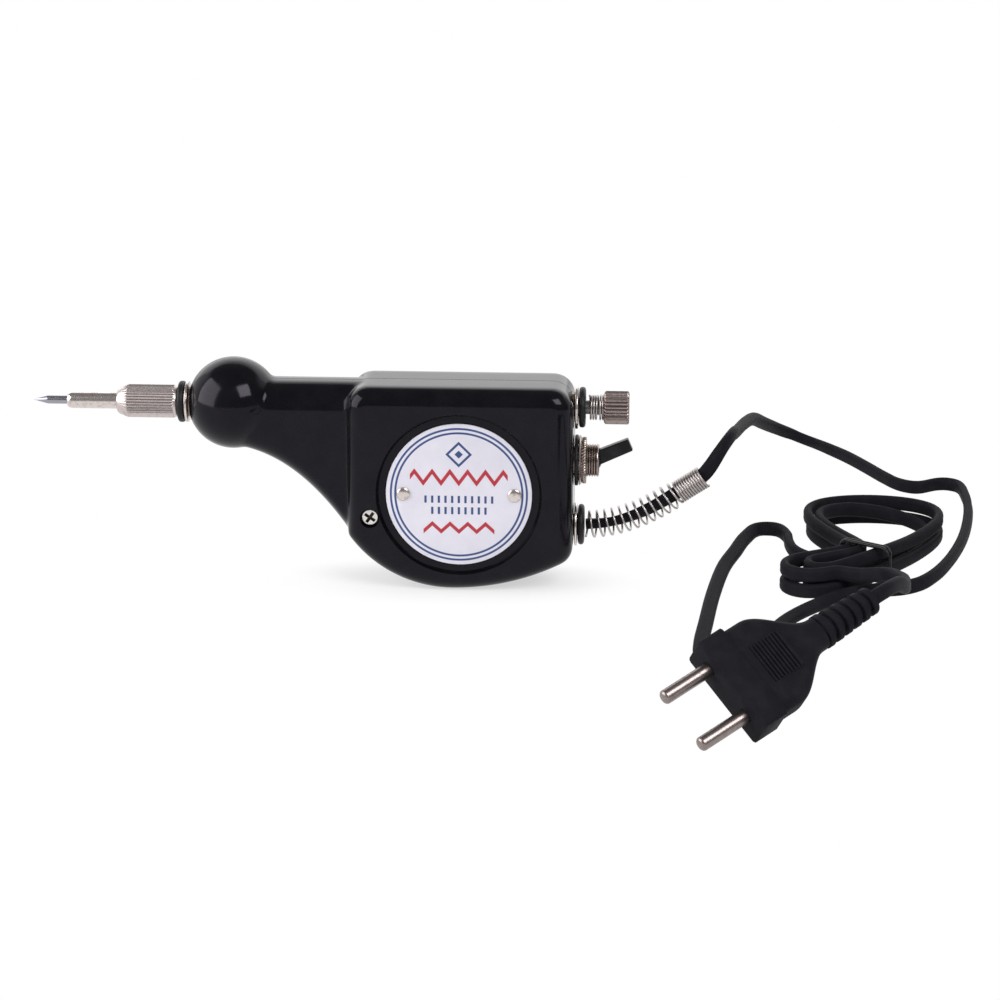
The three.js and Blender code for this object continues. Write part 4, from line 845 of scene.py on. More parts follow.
def rounded_ring(faces: Place, inner: float, outer: float, edge: float, bend: int) -> list[Place]:
    """Profile of a ring with rounded outer edges.

    Args:
        faces: Places of its front and its rear face.
        inner: Radius of the hole.
        outer: Outer radius.
        edge: Rounding of the outer edges.
        bend: Steps of each rounding.

    Returns:
        A closed profile.
    """
    front, rear = faces
    fore = bow((front + edge, outer - edge), -edge, edge, bend)
    aft = bow((rear - edge, outer - edge), edge, edge, bend)
    return [(front, inner), *fore, *reversed(aft), (rear, inner), (front, inner)]


def sweep(
    path: Sequence[Vector], outs: Sequence[Vector], section: Profile, scales: Sequence[float] | None = None,
) -> bmesh.types.BMesh:
    """Carries a section along a path.

    Args:
        path: Points of the centreline.
        outs: Direction of the section's second axis at each point.
        section: Points of the section as sideways and outward distances.
        scales: Size of the section at each point, where it changes.

    Returns:
        The closed tube.
    """
    loops = []
    last = len(path) - 1
    for i, point in enumerate(path):
        along = (path[min(i + 1, last)] - path[max(i - 1, 0)]).normalized()
        side = along.cross(outs[i]).normalized()
        out = side.cross(along)
        size = scales[i] if scales else 1.0
        loops.append([point + side * (a * size) + out * (b * size) for a, b in section])
    return loft(loops)


def circle(radius: float, count: int) -> list[Place]:
    """Points of a round section."""
    return [(radius * math.cos(TAU * k / count), radius * math.sin(TAU * k / count)) for k in range(count)]


def smooth_run(points: Sequence[Vector], step: float) -> list[Vector]:
    """Centripetal spline through points, resampled evenly.

    Args:
        points: Points of the route.
        step: Distance between samples.

    Returns:
        Points along the spline.
    """
    samples = 16
    dense: list[Vector] = [points[0].copy()]
    for i in range(len(points) - 1):
        p1, p2 = points[i], points[i + 1]
        p0 = points[i - 1] if i else p1 * 2 - p2
        p3 = points[i + 2] if i + 2 < len(points) else p2 * 2 - p1
        t1 = max((p1 - p0).length, 1e-6) ** 0.5
        t2 = t1 + max((p2 - p1).length, 1e-6) ** 0.5
        t3 = t2 + max((p3 - p2).length, 1e-6) ** 0.5
        for k in range(1, samples + 1):
            t = t1 + (t2 - t1) * k / samples
            a1 = p0.lerp(p1, t / t1)
            a2 = p1.lerp(p2, (t - t1) / (t2 - t1))
            a3 = p2.lerp(p3, (t - t2) / (t3 - t2))
            b1 = a1.lerp(a2, t / t2)
            b2 = a2.lerp(a3, (t - t1) / (t3 - t1))
            dense.append(b1.lerp(b2, (t - t1) / (t2 - t1)))
    return evened(dense, step)


def evened(points: Sequence[Vector], step: float) -> list[Vector]:
    """Resamples a broken line at an even step.

    Args:
        points: Points of the line.
        step: Wanted distance between samples.

    Returns:
        Evenly spaced points with both ends kept.
    """
    reach = [0.0]
    for a, b in zip(points, points[1:]):
        reach.append(reach[-1] + (b - a).length)
    count = max(2, round(reach[-1] / step))
    result, i = [], 0
    for k in range(count + 1):
        goal = reach[-1] * k / count
        while i < len(points) - 2 and reach[i + 1] < goal:
            i += 1
        span = max(reach[i + 1] - reach[i], 1e-9)
        result.append(points[i].lerp(points[i + 1], min(max((goal - reach[i]) / span, 0.0), 1.0)))
    return result


def relaxed(points: Sequence[Vector], tight: float, rounds: int) -> list[Vector]:
    """Opens the tight bends of an evenly spaced line.

    Args:
        points: Points of the line.
        tight: Bend radius below which a stretch is eased.
        rounds: Rounds of easing.

    Returns:
        The eased points, with both ends kept.
    """
    eased = [point.copy() for point in points]
    last = len(eased) - 1
    for _ in range(rounds):
        moving: set[int] = set()
        for i in range(1, last):
            before, after = eased[i] - eased[i - 1], eased[i + 1] - eased[i]
            if before.angle(after, 0.0) * tight > (before.length + after.length) / 2:
                moving.update(range(max(i - 3, 1), min(i + 4, last)))
        eased = [
            point.lerp((eased[i - 1] + eased[i + 1]) / 2, 0.5) if i in moving else point
            for i, point in enumerate(eased)
        ]
    return eased


def smoothstep(value: float, low: float, high: float) -> float:
    """Smooth rise from 0 to 1 between two places."""
    share = min(max((value - low) / (high - low), 0.0), 1.0)
    return share * share * (3 - 2 * share)


def knurl(
    shape: bmesh.types.BMesh, height: float, ridges: int, span: Place, above: float, depth: float, fade: float = 0.0,
) -> None:
    """Draws the side of a turned blank into straight ridges.

    Args:
        shape: The blank.
        height: Height of its axis.
        ridges: Number of ridges.
        span: Where they start and end along the tool.
        above: Least radius that moves.
        depth: Depth of the grooves.
        fade: Length over which the grooves deepen at their start.
    """
    centre = tool_point(0, 0, height)
    for vert in shape.verts:
        y, z = vert.co.y - centre.y, vert.co.z - centre.z
        radius = math.hypot(y, z)
        place = vert.co.x + HALF_LENGTH
        if radius > above and span[0] < place < span[1]:
            wave = abs(math.sin(math.atan2(z, y) * ridges / 2))
            share = smoothstep(place, span[0], span[0] + fade) if fade else 1.0
            factor = 1 - depth * share * (1 - wave) ** 0.8 / radius
            vert.co.y, vert.co.z = centre.y + y * factor, centre.z + z * factor


# Pieces


class Bench:
    """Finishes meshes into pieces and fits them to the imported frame."""

    def __init__(self, frame: dict, finishes: Finishes) -> None:
        """Keeps the frame and the finishes.

        Args:
            finishes: The materials.
        """
        self.frame = frame
        self.finishes = finishes
        self.home = {node: body for body, nodes in frame["record"]["behaviour"]["bodies"].items() for node in nodes}

    def object(self, name: str, shape: bmesh.types.BMesh) -> bpy.types.Object:
        """Makes an object in metres from a shape in millimetres.

        Args:
            name: The object's name.
            shape: The shape, which is freed.

        Returns:
            The object, linked to the scene.
        """
        bmesh.ops.scale(shape, vec=(MM, MM, MM), verts=shape.verts)
        mesh = bpy.data.meshes.new(name)
        shape.to_mesh(mesh)
        shape.free()
        made = bpy.data.objects.new(name, mesh)
        bpy.context.scene.collection.objects.link(made)
        return made

    def finish(
        self, name: str, shape: bmesh.types.BMesh | bpy.types.Object, slot: Slot, nodes: Sequence[str],
        crease: float = 34.0, look: Look | None = None, stretch: tuple[str, str, Vector, Vector] | None = None,
    ) -> bpy.types.Object:
        """Gives a piece its material, its body and the solids that it stands for.

        Args:
            name: The piece's name.
            shape: Its shape in millimetres, or an object made before.
            slot: Its material slot.
            nodes: The solids that it replaces.
            crease: Angle in degrees above which an edge stays sharp.
            look: A finish of its own, where it differs from its slot's.
            stretch: Two bodies and the points of the piece's ends in millimetres. Where it is given, the piece is
                fixed in the shared frame and joins no body; its bodies and points are not used.

        Returns:
            The finished piece.
        """
        piece = shape if isinstance(shape, bpy.types.Object) else self.object(name, shape)
        piece.name = name
        piece.data.materials.clear()
        piece.data.materials.append(self.finishes.get(look or slot))
        piece.data.shade_smooth()
        piece.data.set_sharp_from_angle(angle=math.radians(crease))
        if stretch is None:
            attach(piece, self.home[nodes[0]])
        else:
            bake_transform(piece)
        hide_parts(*nodes)
        log.info("piece %s stands for %s", name, ", ".join(nodes))
        return piece

    def combine(self, base: bpy.types.Object, others: Iterable[bpy.types.Object], how: Fit) -> bpy.types.Object:
        """Joins, cuts or intersects solids.

        Args:
            base: The solid that is kept.
            others: Solids that are used up.
            how: What they do to the base.

        Returns:
            The base with its new mesh.
        """
        for other in others:
            modifier = base.modifiers.new("fit", "BOOLEAN")
            modifier.operation = how.value
            modifier.solver = "MANIFOLD"
            modifier.object = other
            self.settle(base)
            bpy.data.objects.remove(other)
        return base

    def settle(self, piece: bpy.types.Object) -> None:
        """Puts what a piece's modifiers make into its mesh and takes them off.

        Args:
            piece: The piece, whose old mesh is removed.
        """
        graph = bpy.context.evaluated_depsgraph_get()
        fresh = bpy.data.meshes.new_from_object(piece.evaluated_get(graph))
        piece.modifiers.clear()
        stale = piece.data
        piece.data = fresh
        bpy.data.meshes.remove(stale)

    def melt(self, piece: bpy.types.Object, grid: float, rounds: int) -> bpy.types.Object:
        """Runs the joints of a union into one another as fillets.

        Args:
            piece: The union.
            grid: Spacing of the new mesh in millimetres.
            rounds: Rounds of smoothing, which set the size of the fillets.

        Returns:
            The piece with its new mesh.
        """
        remesh = piece.modifiers.new("grid", "REMESH")
        remesh.mode = "VOXEL"
        remesh.voxel_size = grid * MM
        smooth = piece.modifiers.new("ease", "SMOOTH")
        smooth.factor, smooth.iterations = 0.5, rounds
        self.settle(piece)
        return piece

    def cylinder(
        self, centre: Vector, radius: float, depth: float, turn: Matrix, count: int = 64, mouth: float | None = None,
    ) -> bpy.types.Object:
        """Makes a cutter cylinder.

        Args:
            centre: Its middle.
            radius: Its radius.
            depth: Its length.
            turn: Rotation that takes Z to its axis.
            count: Facets.
            mouth: Radius of its upper end, where that differs.

        Returns:
            The cutter.
        """
        shape = bmesh.new()
        bmesh.ops.create_cone(
            shape, cap_ends=True, segments=count, radius1=radius, radius2=radius if mouth is None else mouth,
            depth=depth, matrix=Matrix.Translation(centre) @ turn,
        )
        return self.object("cutter", shape)

    def block(self, low: Vector, high: Vector) -> bpy.types.Object:
        """Makes a cutter block between two corners.

        Args:
            low: The corner with the least coordinates.
            high: The corner opposite.

        Returns:
            The cutter.
        """
        shape = bmesh.new()
        bmesh.ops.create_cube(
            shape, size=1.0,
            matrix=Matrix.Translation((low + high) / 2) @ Matrix.Diagonal((*(high - low), 1.0)),
        )
        return self.object("cutter", shape)


ALONG = Matrix.Rotation(math.pi / 2, 4, "Y")  # Takes Z to the tool's length
ACROSS = Matrix.Rotation(math.pi / 2, 4, "X")  # Takes Z across the tool


@dataclass
class Casing:
    """The two moulded halves: ball nose, neck and box."""

    bench: Bench
    ball_centre: float = 73.2
    ball_radius: float = 16.7
    ball_flat: float = 57.6
    box_front: float = 115.2
    box_rear: float = 196.8
    box_top: float = 75.3
    half_width: float = 17.0
    edge: float = 6.5
    top_corner: float = 8.0
    rear_corner: float = 7.2
    belly_place: float = 152.8
    belly_front: float = 45.5
    belly_rear: float = 86.94
    wall: float = 3.2
    neck_half: float = 12.0
    neck_span: Place = (2.8, 1.3)
    neck_under: Place = (50.4, 17.6)
    neck_drop: float = 0.5
    neck_upper: float = 10.0
    neck_lower: float = 9.0
    seam: float = 0.3
    grid: float = 0.56
    melting: int = 26
    recess_radius: float = 29.3
    recess_depth: float = 2.0
    bearing_radius: float = 5.65
    screw_hole: float = 1.8
    screw_mouth: float = 3.55
    screw_head: float = 1.7
    screw_gap: float = 0.3
    armature_pin: Place = (169.95, 9.5)
    core_screws: tuple[Place, ...] = ((132.5, 17.5), (132.5, 54.5))

    def outline(self, inset: float, steps: int) -> list[Place]:
        """Outline of the box along the tool and up.

        Args:
            inset: How far it is drawn inward.
            steps: Steps of each arc.

        Returns:
            Points of the closed outline.
        """
        front, rear, top = self.box_front + inset, self.box_rear - inset, self.box_top - inset
        middle = self.belly_place
        corner = self.top_corner - min(inset, self.top_corner / 2)
        heel = self.rear_corner - min(inset, self.rear_corner / 2)
        small, large = self.belly_front - inset, self.belly_rear - inset
        toe = -math.sqrt(small**2 - (middle - front) ** 2)
        heel_place = rear - heel
        drop = -math.sqrt((large - heel) ** 2 - (heel_place - middle) ** 2)
        heel_angle = math.atan2(drop, heel_place - middle)
        arcs = (
            (middle, self.belly_front, small, math.atan2(toe, front - middle), -math.pi / 2, 4 * steps),
            (middle, self.belly_rear, large, -math.pi / 2, heel_angle, 4 * steps),
            (heel_place, self.belly_rear + drop, heel, heel_angle, 0.0, 2 * steps),
            (rear - corner, top - corner, corner, 0.0, math.pi / 2, 2 * steps),
            (front + corner, top - corner, corner, math.pi / 2, math.pi, 2 * steps),
        )
        points: list[Place] = []
        for x, z, radius, start, end, count in arcs:
            for k in range(count + 1):
                angle = start + (end - start) * k / count
                point = (x + radius * math.cos(angle), z + radius * math.sin(angle))
                if not points or math.dist(points[-1], point) > 0.02:
                    points.append(point)
        return points

    def box(self, inset: float, edge: float, steps: int, bends: int) -> bmesh.types.BMesh:
        """The box, both halves in one, with rounded edges.

        Args:
            inset: How far it is drawn inward.
            edge: Rounding of its edges.
            steps: Steps of each arc of the outline.
            bends: Steps of the rounding.

        Returns:
            The closed box.
        """
        half = self.half_width - inset
        shape = bmesh.new()
        ring = [shape.verts.new(tool_point(x, -half, z)) for x, z in self.outline(inset, steps)]
        face = shape.faces.new(ring)
        grown = bmesh.ops.extrude_face_region(shape, geom=[face])["geom"]
        moved = [part for part in grown if isinstance(part, bmesh.types.BMVert)]
        bmesh.ops.translate(shape, vec=(0, 2 * half, 0), verts=moved)
        bmesh.ops.recalc_face_normals(shape, faces=shape.faces)
        rims = [
            e for e in shape.edges
            if abs(e.verts[0].co.y - e.verts[1].co.y) < 1e-6 and abs(abs(e.verts[0].co.y) - half) < 1e-6
        ]
        bmesh.ops.bevel(
            shape, geom=rims, offset=edge, offset_type="OFFSET", affect="EDGES", segments=bends,
            profile=0.5, material=-1, clamp_overlap=False,
        )
        return cleaned(shape)

    def underside(self, along: float) -> float:
        """Height of the neck's underside at a place along the tool.

        Args:
            along: The place.

        Returns:
            The height in the tool's drawing.
        """
        start, end = self.ball_centre + self.neck_span[0], self.box_front + self.neck_span[1]
        high, low = self.neck_under
        share = min(max((along - start) / (end - start), 0.0), 1.0)
        return high - (high - low) * (0.27 * share + 0.73 * share**2.2)

    def neck(self, start: float, end: float, inset: float, count: int, steps: int) -> bmesh.types.BMesh:
        """The neck as a loft of rounded sections.

        Args:
            start: First section.
            end: Last section.
            inset: How far it is drawn inward.
            count: Number of spans.
            steps: Steps of each rounding.

        Returns:
            The closed neck.
        """
        sections = []
        half, upper, lower = self.neck_half - inset, self.neck_upper - inset, self.neck_lower - inset
        for i in range(count + 1):
            along = start + (end - start) * i / count
            top, bottom = self.box_top - self.neck_drop - inset, self.underside(along) + inset
            corners = (
                (half - upper, top - upper, upper, 0), (upper - half, top - upper, upper, 1),
                (lower - half, bottom + lower, lower, 2), (half - lower, bottom + lower, lower, 3),
            )
            section = []
            for y, z, radius, quarter in corners:
                for k in range(steps + 1):
                    angle = (quarter + k / steps) * math.pi / 2
                    section.append(tool_point(along, y + radius * math.cos(angle), z + radius * math.sin(angle)))
            sections.append(section)
        return loft(sections)

    def body(self) -> bpy.types.Object:
        """The whole casing before it is split, with its hollow and its openings.

        Returns:
            The casing in one piece.
        """
        bench = self.bench
        ball = bmesh.new()
        bmesh.ops.create_uvsphere(
            ball, u_segments=128, v_segments=72, radius=self.ball_radius,
            matrix=Matrix.Translation(tool_point(self.ball_centre, 0, AXIS_HEIGHT)) @ ALONG,
        )
        whole = bench.object("casing", self.box(0.0, self.edge, 14, 10))
        start, end = self.ball_centre + self.neck_span[0], self.box_front + self.neck_span[1] + self.top_corner
        neck = bench.object("neck", self.neck(start, end, 0.0, 56, 14))
        bench.combine(whole, [neck, bench.object("ball", ball)], Fit.JOIN)
        bench.melt(whole, self.grid, self.melting)
        room = bench.object("room", self.box(self.wall, 3.0, 4, 3))
        start, end = self.ball_centre + 0.75 * self.ball_radius, self.box_front + 2 * self.wall
        passage = bench.object("passage", self.neck(start, end, self.wall, 8, 4))
        bench.combine(room, [passage], Fit.JOIN)
        # Place along the tool, height, radius, depth
        openings = (
            (self.ball_flat - 10, AXIS_HEIGHT, 20, 20),
            (self.ball_flat + 6, AXIS_HEIGHT, self.bearing_radius, 18),
            (80, AXIS_HEIGHT, 4.5, 20),
            (self.box_rear, AXIS_HEIGHT, self.bearing_radius, 14),
            (self.box_rear, SWITCH_HEIGHT, 6.25, 10),
            (self.box_rear, CORD_HEIGHT, 4.25, 10),
        )
        cuts = [room]
        for along, height, radius, depth in openings:
            cuts.append(bench.cylinder(tool_point(along, 0, height), radius, depth, ALONG))
        return bench.combine(whole, cuts, Fit.CUT)

    def bosses(self) -> list[bpy.types.Object]:
        """Inner posts for the case screws, the armature's pin and the core's screws.

        Returns:
            The posts, still without their holes.
        """
        bench = self.bench
        posts = []
        for x, z, _, face in CASE_SCREWS:
            posts.append(bench.cylinder(tool_point(x, 0, z), 4.6, 2 * face - self.wall, ACROSS, 32))
        x, z = self.armature_pin
        for side in (-1, 1):
            posts.append(bench.cylinder(tool_point(x, side * 10.95, z), 4.0, 8.9, ACROSS, 32))
        for x, z in self.core_screws:
            posts.append(bench.cylinder(tool_point(x, 11.1, z), 3.1, 8.6, ACROSS, 32))
        return posts

    def holes(self) -> list[bpy.types.Object]:
        """Holes of the case screws with their counterbores, of the armature's pin and of the core's screws.

        Returns:
            The cutters.
        """
        bench, radius = self.bench, self.screw_hole
        cuts = []
        for x, z, side, face in CASE_SCREWS:
            seat = face - SCREW_SINK - self.screw_head - self.screw_gap
            cuts.append(bench.cylinder(tool_point(x, side * (seat + 5), z), self.screw_mouth, 10, ACROSS))
            low, high = sorted((-side * (face - self.wall / 2), side * (seat + 1)))
            cuts.append(bench.cylinder(tool_point(x, (low + high) / 2, z), radius, high - low, ACROSS, 32))
        x, z = self.armature_pin
        cuts.append(bench.cylinder(tool_point(x, 0, z), radius, 25.6, ACROSS, 32))
        for x, z in self.core_screws:
            cuts.append(bench.cylinder(tool_point(x, 8.8, z), radius, 4.6, ACROSS, 32))
        return cuts

    def label_seat(self) -> list[bpy.types.Object]:
        """The round recess of the label with its sloping rim, and the holes of its rivets.

        Returns:
            The cutters.
        """
        bench = self.bench
        x, z = LABEL_CENTRE
        depth = 6.0
        middle = -self.half_width - depth / 2 + self.recess_depth
        cuts = [bench.cylinder(
            tool_point(x, middle, z), self.recess_radius - 0.3, depth, ACROSS, 160, self.recess_radius + 2.4,
        )]
        for offset in LABEL_RIVETS:
            cuts.append(bench.cylinder(tool_point(x + offset, -15.4, z), 1.5, 3.2, ACROSS, 24))
        return cuts

    def build(self) -> None:
        """Makes both halves and fits them."""
        bench = self.bench
        whole = self.body()
        bench.combine(whole, self.bosses(), Fit.JOIN)
        rest = bench.block(tool_point(140, -20, -3), tool_point(166, 20, FLOOR_DROP))
        bench.combine(whole, [rest, *self.holes(), *self.label_seat()], Fit.CUT)
        for half in Half:
            part = whole.copy()
            part.data = whole.data.copy()
            bpy.context.scene.collection.objects.link(part)
            low, high = sorted((half.value * self.seam / 2, half.value * 40.0))
            bench.combine(part, [bench.block(tool_point(40, low, -10), tool_point(210, high, 100))], Fit.KEEP)
            side = half.name.lower()
            bench.finish(f"{side}_moulding", part, Slot.BAKELITE, [f"{side}_casing"], 30.0)
        bpy.data.objects.remove(whole)


@dataclass
class Label:
    """Printed plate and its two rivets."""

    bench: Bench
    radius: float = 26.3
    face: float = 15.3
    thickness: float = 0.6
    rivet_gap: float = 0.3

    def build(self) -> None:
        """Makes the plate and the rivets."""
        x, z = LABEL_CENTRE
        plate = bmesh.new()
        bmesh.ops.create_cone(
            plate, cap_ends=True, segments=160, radius1=self.radius, radius2=self.radius, depth=self.thickness,
            matrix=Matrix.Translation(tool_point(x, -self.face - self.thickness / 2, z)) @ ACROSS,
        )
        rims = [e for e in plate.edges if abs(e.verts[0].co.y - e.verts[1].co.y) < 1e-6]
        bmesh.ops.bevel(plate, geom=rims, offset=0.15, affect="EDGES", segments=2, profile=0.5, material=-1)
        piece = self.bench.object("plate", plate)
        holes = [
            self.bench.cylinder(tool_point(x + offset, -self.face, z), 1.5, 3.0, ACROSS, 24)
            for offset in LABEL_RIVETS
        ]
        self.bench.combine(piece, holes, Fit.CUT)
        self.bench.finish("label_disc", piece, Slot.LABEL, ["label_plate"])
        seat = self.face + self.thickness + self.rivet_gap
        wide, tall = 2.45, 0.75
        rows = [(0.0, -1.9), (1.2, -1.9), (1.2, 0.0), (2.3, 0.0), *bow((0.0, 0.0), wide, tall, 10)[:-1], (0.0, tall)]
        for number, offset in enumerate(LABEL_RIVETS, 1):
            head = turned_head(rows, (x + offset, z), Half.FRONT.value, seat, 32)
            self.bench.finish(f"label_stud_{number}", head, Slot.NICKEL, [f"label_rivet_{number}"], 50.0)


@dataclass
class Screws:
    """Cross-head screws of the casing."""

    bench: Bench
    tail: float = 4.6
    cross_turn: float = 0.6
    cross_size: Point = (4.4, 2.2, 1.15)
    # Depth span and radius of the painted shade in the cross recess
    painted_shade_depth: Place = (0.08, 1.6)
    painted_shade_radius: float = 2.35

    def cross(self, centre: Vector) -> list[bpy.types.Object]:
        """The two bars that cut the cross recess.

        Args:
            centre: Middle of the bars in millimetres.

        Returns:
            The cutters.
        """
        bars = []
        for turn in (self.cross_turn, self.cross_turn + math.pi / 2):
            place = Matrix.Translation(centre) @ Matrix.Rotation(turn, 4, "Y")
            bar = bmesh.new()
            bmesh.ops.create_cube(bar, size=1.0, matrix=place @ Matrix.Diagonal((*self.cross_size, 1)))
            bars.append(self.bench.object("slot", bar))
        return bars

    def paint_recess_shade(self, piece: bpy.types.Object, centre: Vector, side: int) -> None:
        """Paints shade on the walls and the floor of the cross recess with a near-black nickel material.

        Args:
            piece: The screw.
            centre: Middle of its head's top in millimetres.
            side: 1 where the head faces the rear half's side, -1 where it faces the front half's.
        """
        piece.data.materials.append(self.bench.finishes.get(Look.DRIVE_RECESS))
        low, high = self.painted_shade_depth
        for polygon in piece.data.polygons:
            offset = polygon.center - centre * MM
            near_axis = math.hypot(offset.x, offset.z) < self.painted_shade_radius * MM
            if near_axis and low * MM < -side * offset.y < high * MM:
                polygon.material_index = 1

    def build(self) -> None:
        """Makes the three screws."""
        for number, (x, z, side, face) in enumerate(CASE_SCREWS, 1):
            top, end = face - SCREW_SINK, -(face + self.tail)
            rows = [(0.0, end), (1.5, end), (1.5, -1.7), (3.1, -1.2), (3.1, -0.6)]
            rows += [*bow((2.6, -0.5), 0.5, 0.42, 5), (0.0, 0.0)]
            piece = self.bench.object("screw", turned_head(rows, (x, z), side, top, 40))
            self.bench.combine(piece, self.cross(tool_point(x, side * (top - 0.1), z)), Fit.CUT)
            self.bench.finish(
                f"casing_screw_{number}", piece, Slot.NICKEL, [f"case_screw_{number}"], 30.0, Look.BRIGHT_HEAD,
            )
            # Paints shade into the walls and floor of the cross recess
            self.paint_recess_shade(piece, tool_point(x, side * top, z), side)


@dataclass
class Chuck:
    """Needle, shank and the knurled nut that holds them."""

    bench: Bench
    ridges: int = 34

    def needle(self) -> None:
        """Makes the carbide needle and its shank."""
        tip = revolve([
            (0.0, 0.0), (0.03, 0.10), (0.12, 0.15), (5.1, 1.50), (5.3, 1.53), (19.4, 1.53), (19.4, 0.0),
        ], AXIS_HEIGHT, 48)
        self.bench.finish("needle_tip", tip, Slot.CARBIDE, ["needle_point"], 30.0)
        rows = [(12.4, 1.68), (12.4, 1.95), *bow((14.4, 1.95), -2.0, 1.05, 8, 1)]
        rows += [(47.8, 3.0), (47.8, 0.0), (19.7, 0.0), (19.7, 1.68), (12.4, 1.68)]
        self.bench.finish("needle_holder", revolve(rows, AXIS_HEIGHT, 56), Slot.NICKEL, ["needle_shank"], 40.0)

    def nut(self) -> None:
        """Makes the nut: a turned blank whose side is drawn into ridges."""
        rows = [
            (30.8, 3.35), (30.8, 3.9), (31.0, 4.25), (31.6, 4.75), (33.4, 5.45), (34.6, 5.95), (34.9, 6.0),
            (35.1, 6.0), (51.3, 6.0), (51.5, 6.0), (51.7, 5.65), (52.4, 5.65), (52.9, 5.3), (52.9, 4.95),
            (37.2, 4.95), (37.2, 4.9), (32.6, 3.95), (32.6, 3.35), (30.8, 3.35),
        ]
        shape = revolve(rows, AXIS_HEIGHT, self.ridges * 6)
        knurl(shape, AXIS_HEIGHT, self.ridges, (33.3, 51.6), 5.0, 0.42, 1.7)
        self.bench.finish("knurled_chuck", shape, Slot.NICKEL, ["chuck_nut"], 50.0, Look.KNURLED)

    def build(self) -> None:
        """Makes the pieces in front of the ball."""
        self.needle()
        self.nut()


@dataclass
class Washers:
    """Rubber and metal washers in front of the ball and behind the box."""

    bench: Bench

    def build(self) -> None:
        """Makes the washers."""
        rows = (
            ("nose_rubber", "front_rubber_washer", Slot.RUBBER, 53.2, 55.6, 3.9, 7.5, 0.95),
            ("nose_washer", "front_metal_washer", Slot.NICKEL, 55.9, 56.9, 3.9, 7.5, 0.3),
            ("tail_washer", "rear_metal_washer", Slot.NICKEL, 197.1, 198.2, 3.9, 7.85, 0.3),
            ("tail_rubber", "rear_rubber_washer", Slot.RUBBER, 198.5, 200.8, 3.9, 7.35, 1.0),
        )
        for name, node, slot, front, rear, inner, outer, edge in rows:
            shape = revolve(rounded_ring((front, rear), inner, outer, edge, 5), AXIS_HEIGHT, 72)
            self.bench.finish(name, shape, slot, [node], 50.0)


@dataclass
class StrokeKnob:
    """Return spring, thrust washer and the knurled knob that sets the stroke."""

    bench: Bench
    spring_start: float = 201.8
    spring_length: float = 3.95
    coil_radius: float = 4.25
    wire: float = 0.37
    curls: float = 3.4
    ridges: int = 25

    def spring(self) -> None:
        """Makes the open spring."""
        count = int(self.curls * 40)
        run = self.spring_length - 2 * self.wire
        path, outs = [], []
        for i in range(count + 1):
            angle = TAU * self.curls * i / count
            out = Vector((0, math.sin(angle), math.cos(angle)))
            centre = tool_point(self.spring_start + self.wire + run * i / count, 0, AXIS_HEIGHT)
            path.append(centre + out * self.coil_radius)
            outs.append(out)
        shape = sweep(path, outs, circle(self.wire, 12))
        ends = [tool_point(self.spring_start + along, 0, AXIS_HEIGHT) for along in (0.0, self.spring_length)]
        self.bench.finish(
            "stroke_spring", shape, Slot.NICKEL, ["return_spring"], 60.0, Look.SPRING_WIRE,
            ("spindle", "spring_cap", *ends),
        )

    def build(self) -> None:
        """Makes spring, washer and knob."""
        self.spring()
        cap = revolve(rounded_ring((205.8, 206.4), 2.8, 4.7, 0.15, 2), AXIS_HEIGHT, 64)
        self.bench.finish("thrust_washer", cap, Slot.STEEL, ["spring_cap"], 50.0, Look.SPRING_WIRE)
        rows = [
            (206.7, 2.8), (206.7, 4.5), (207.0, 4.7), (207.3, 4.7), (207.5, 5.4), (207.8, 5.85), (208.2, 6.0),
            (208.3, 6.0), (215.8, 6.0), (216.0, 6.0), (216.3, 5.8), (216.5, 5.4), (216.5, 1.4), (216.3, 0.0),
            (214.9, 0.0), (214.9, 2.8), (206.7, 2.8),
        ]
        shape = revolve(rows, AXIS_HEIGHT, self.ridges * 6)
        knurl(shape, AXIS_HEIGHT, self.ridges, (207.6, 216.45), 5.0, 0.6)
        self.bench.finish("stroke_knob", shape, Slot.NICKEL, ["adjuster_knob"], 50.0, Look.DULL_KNURL)


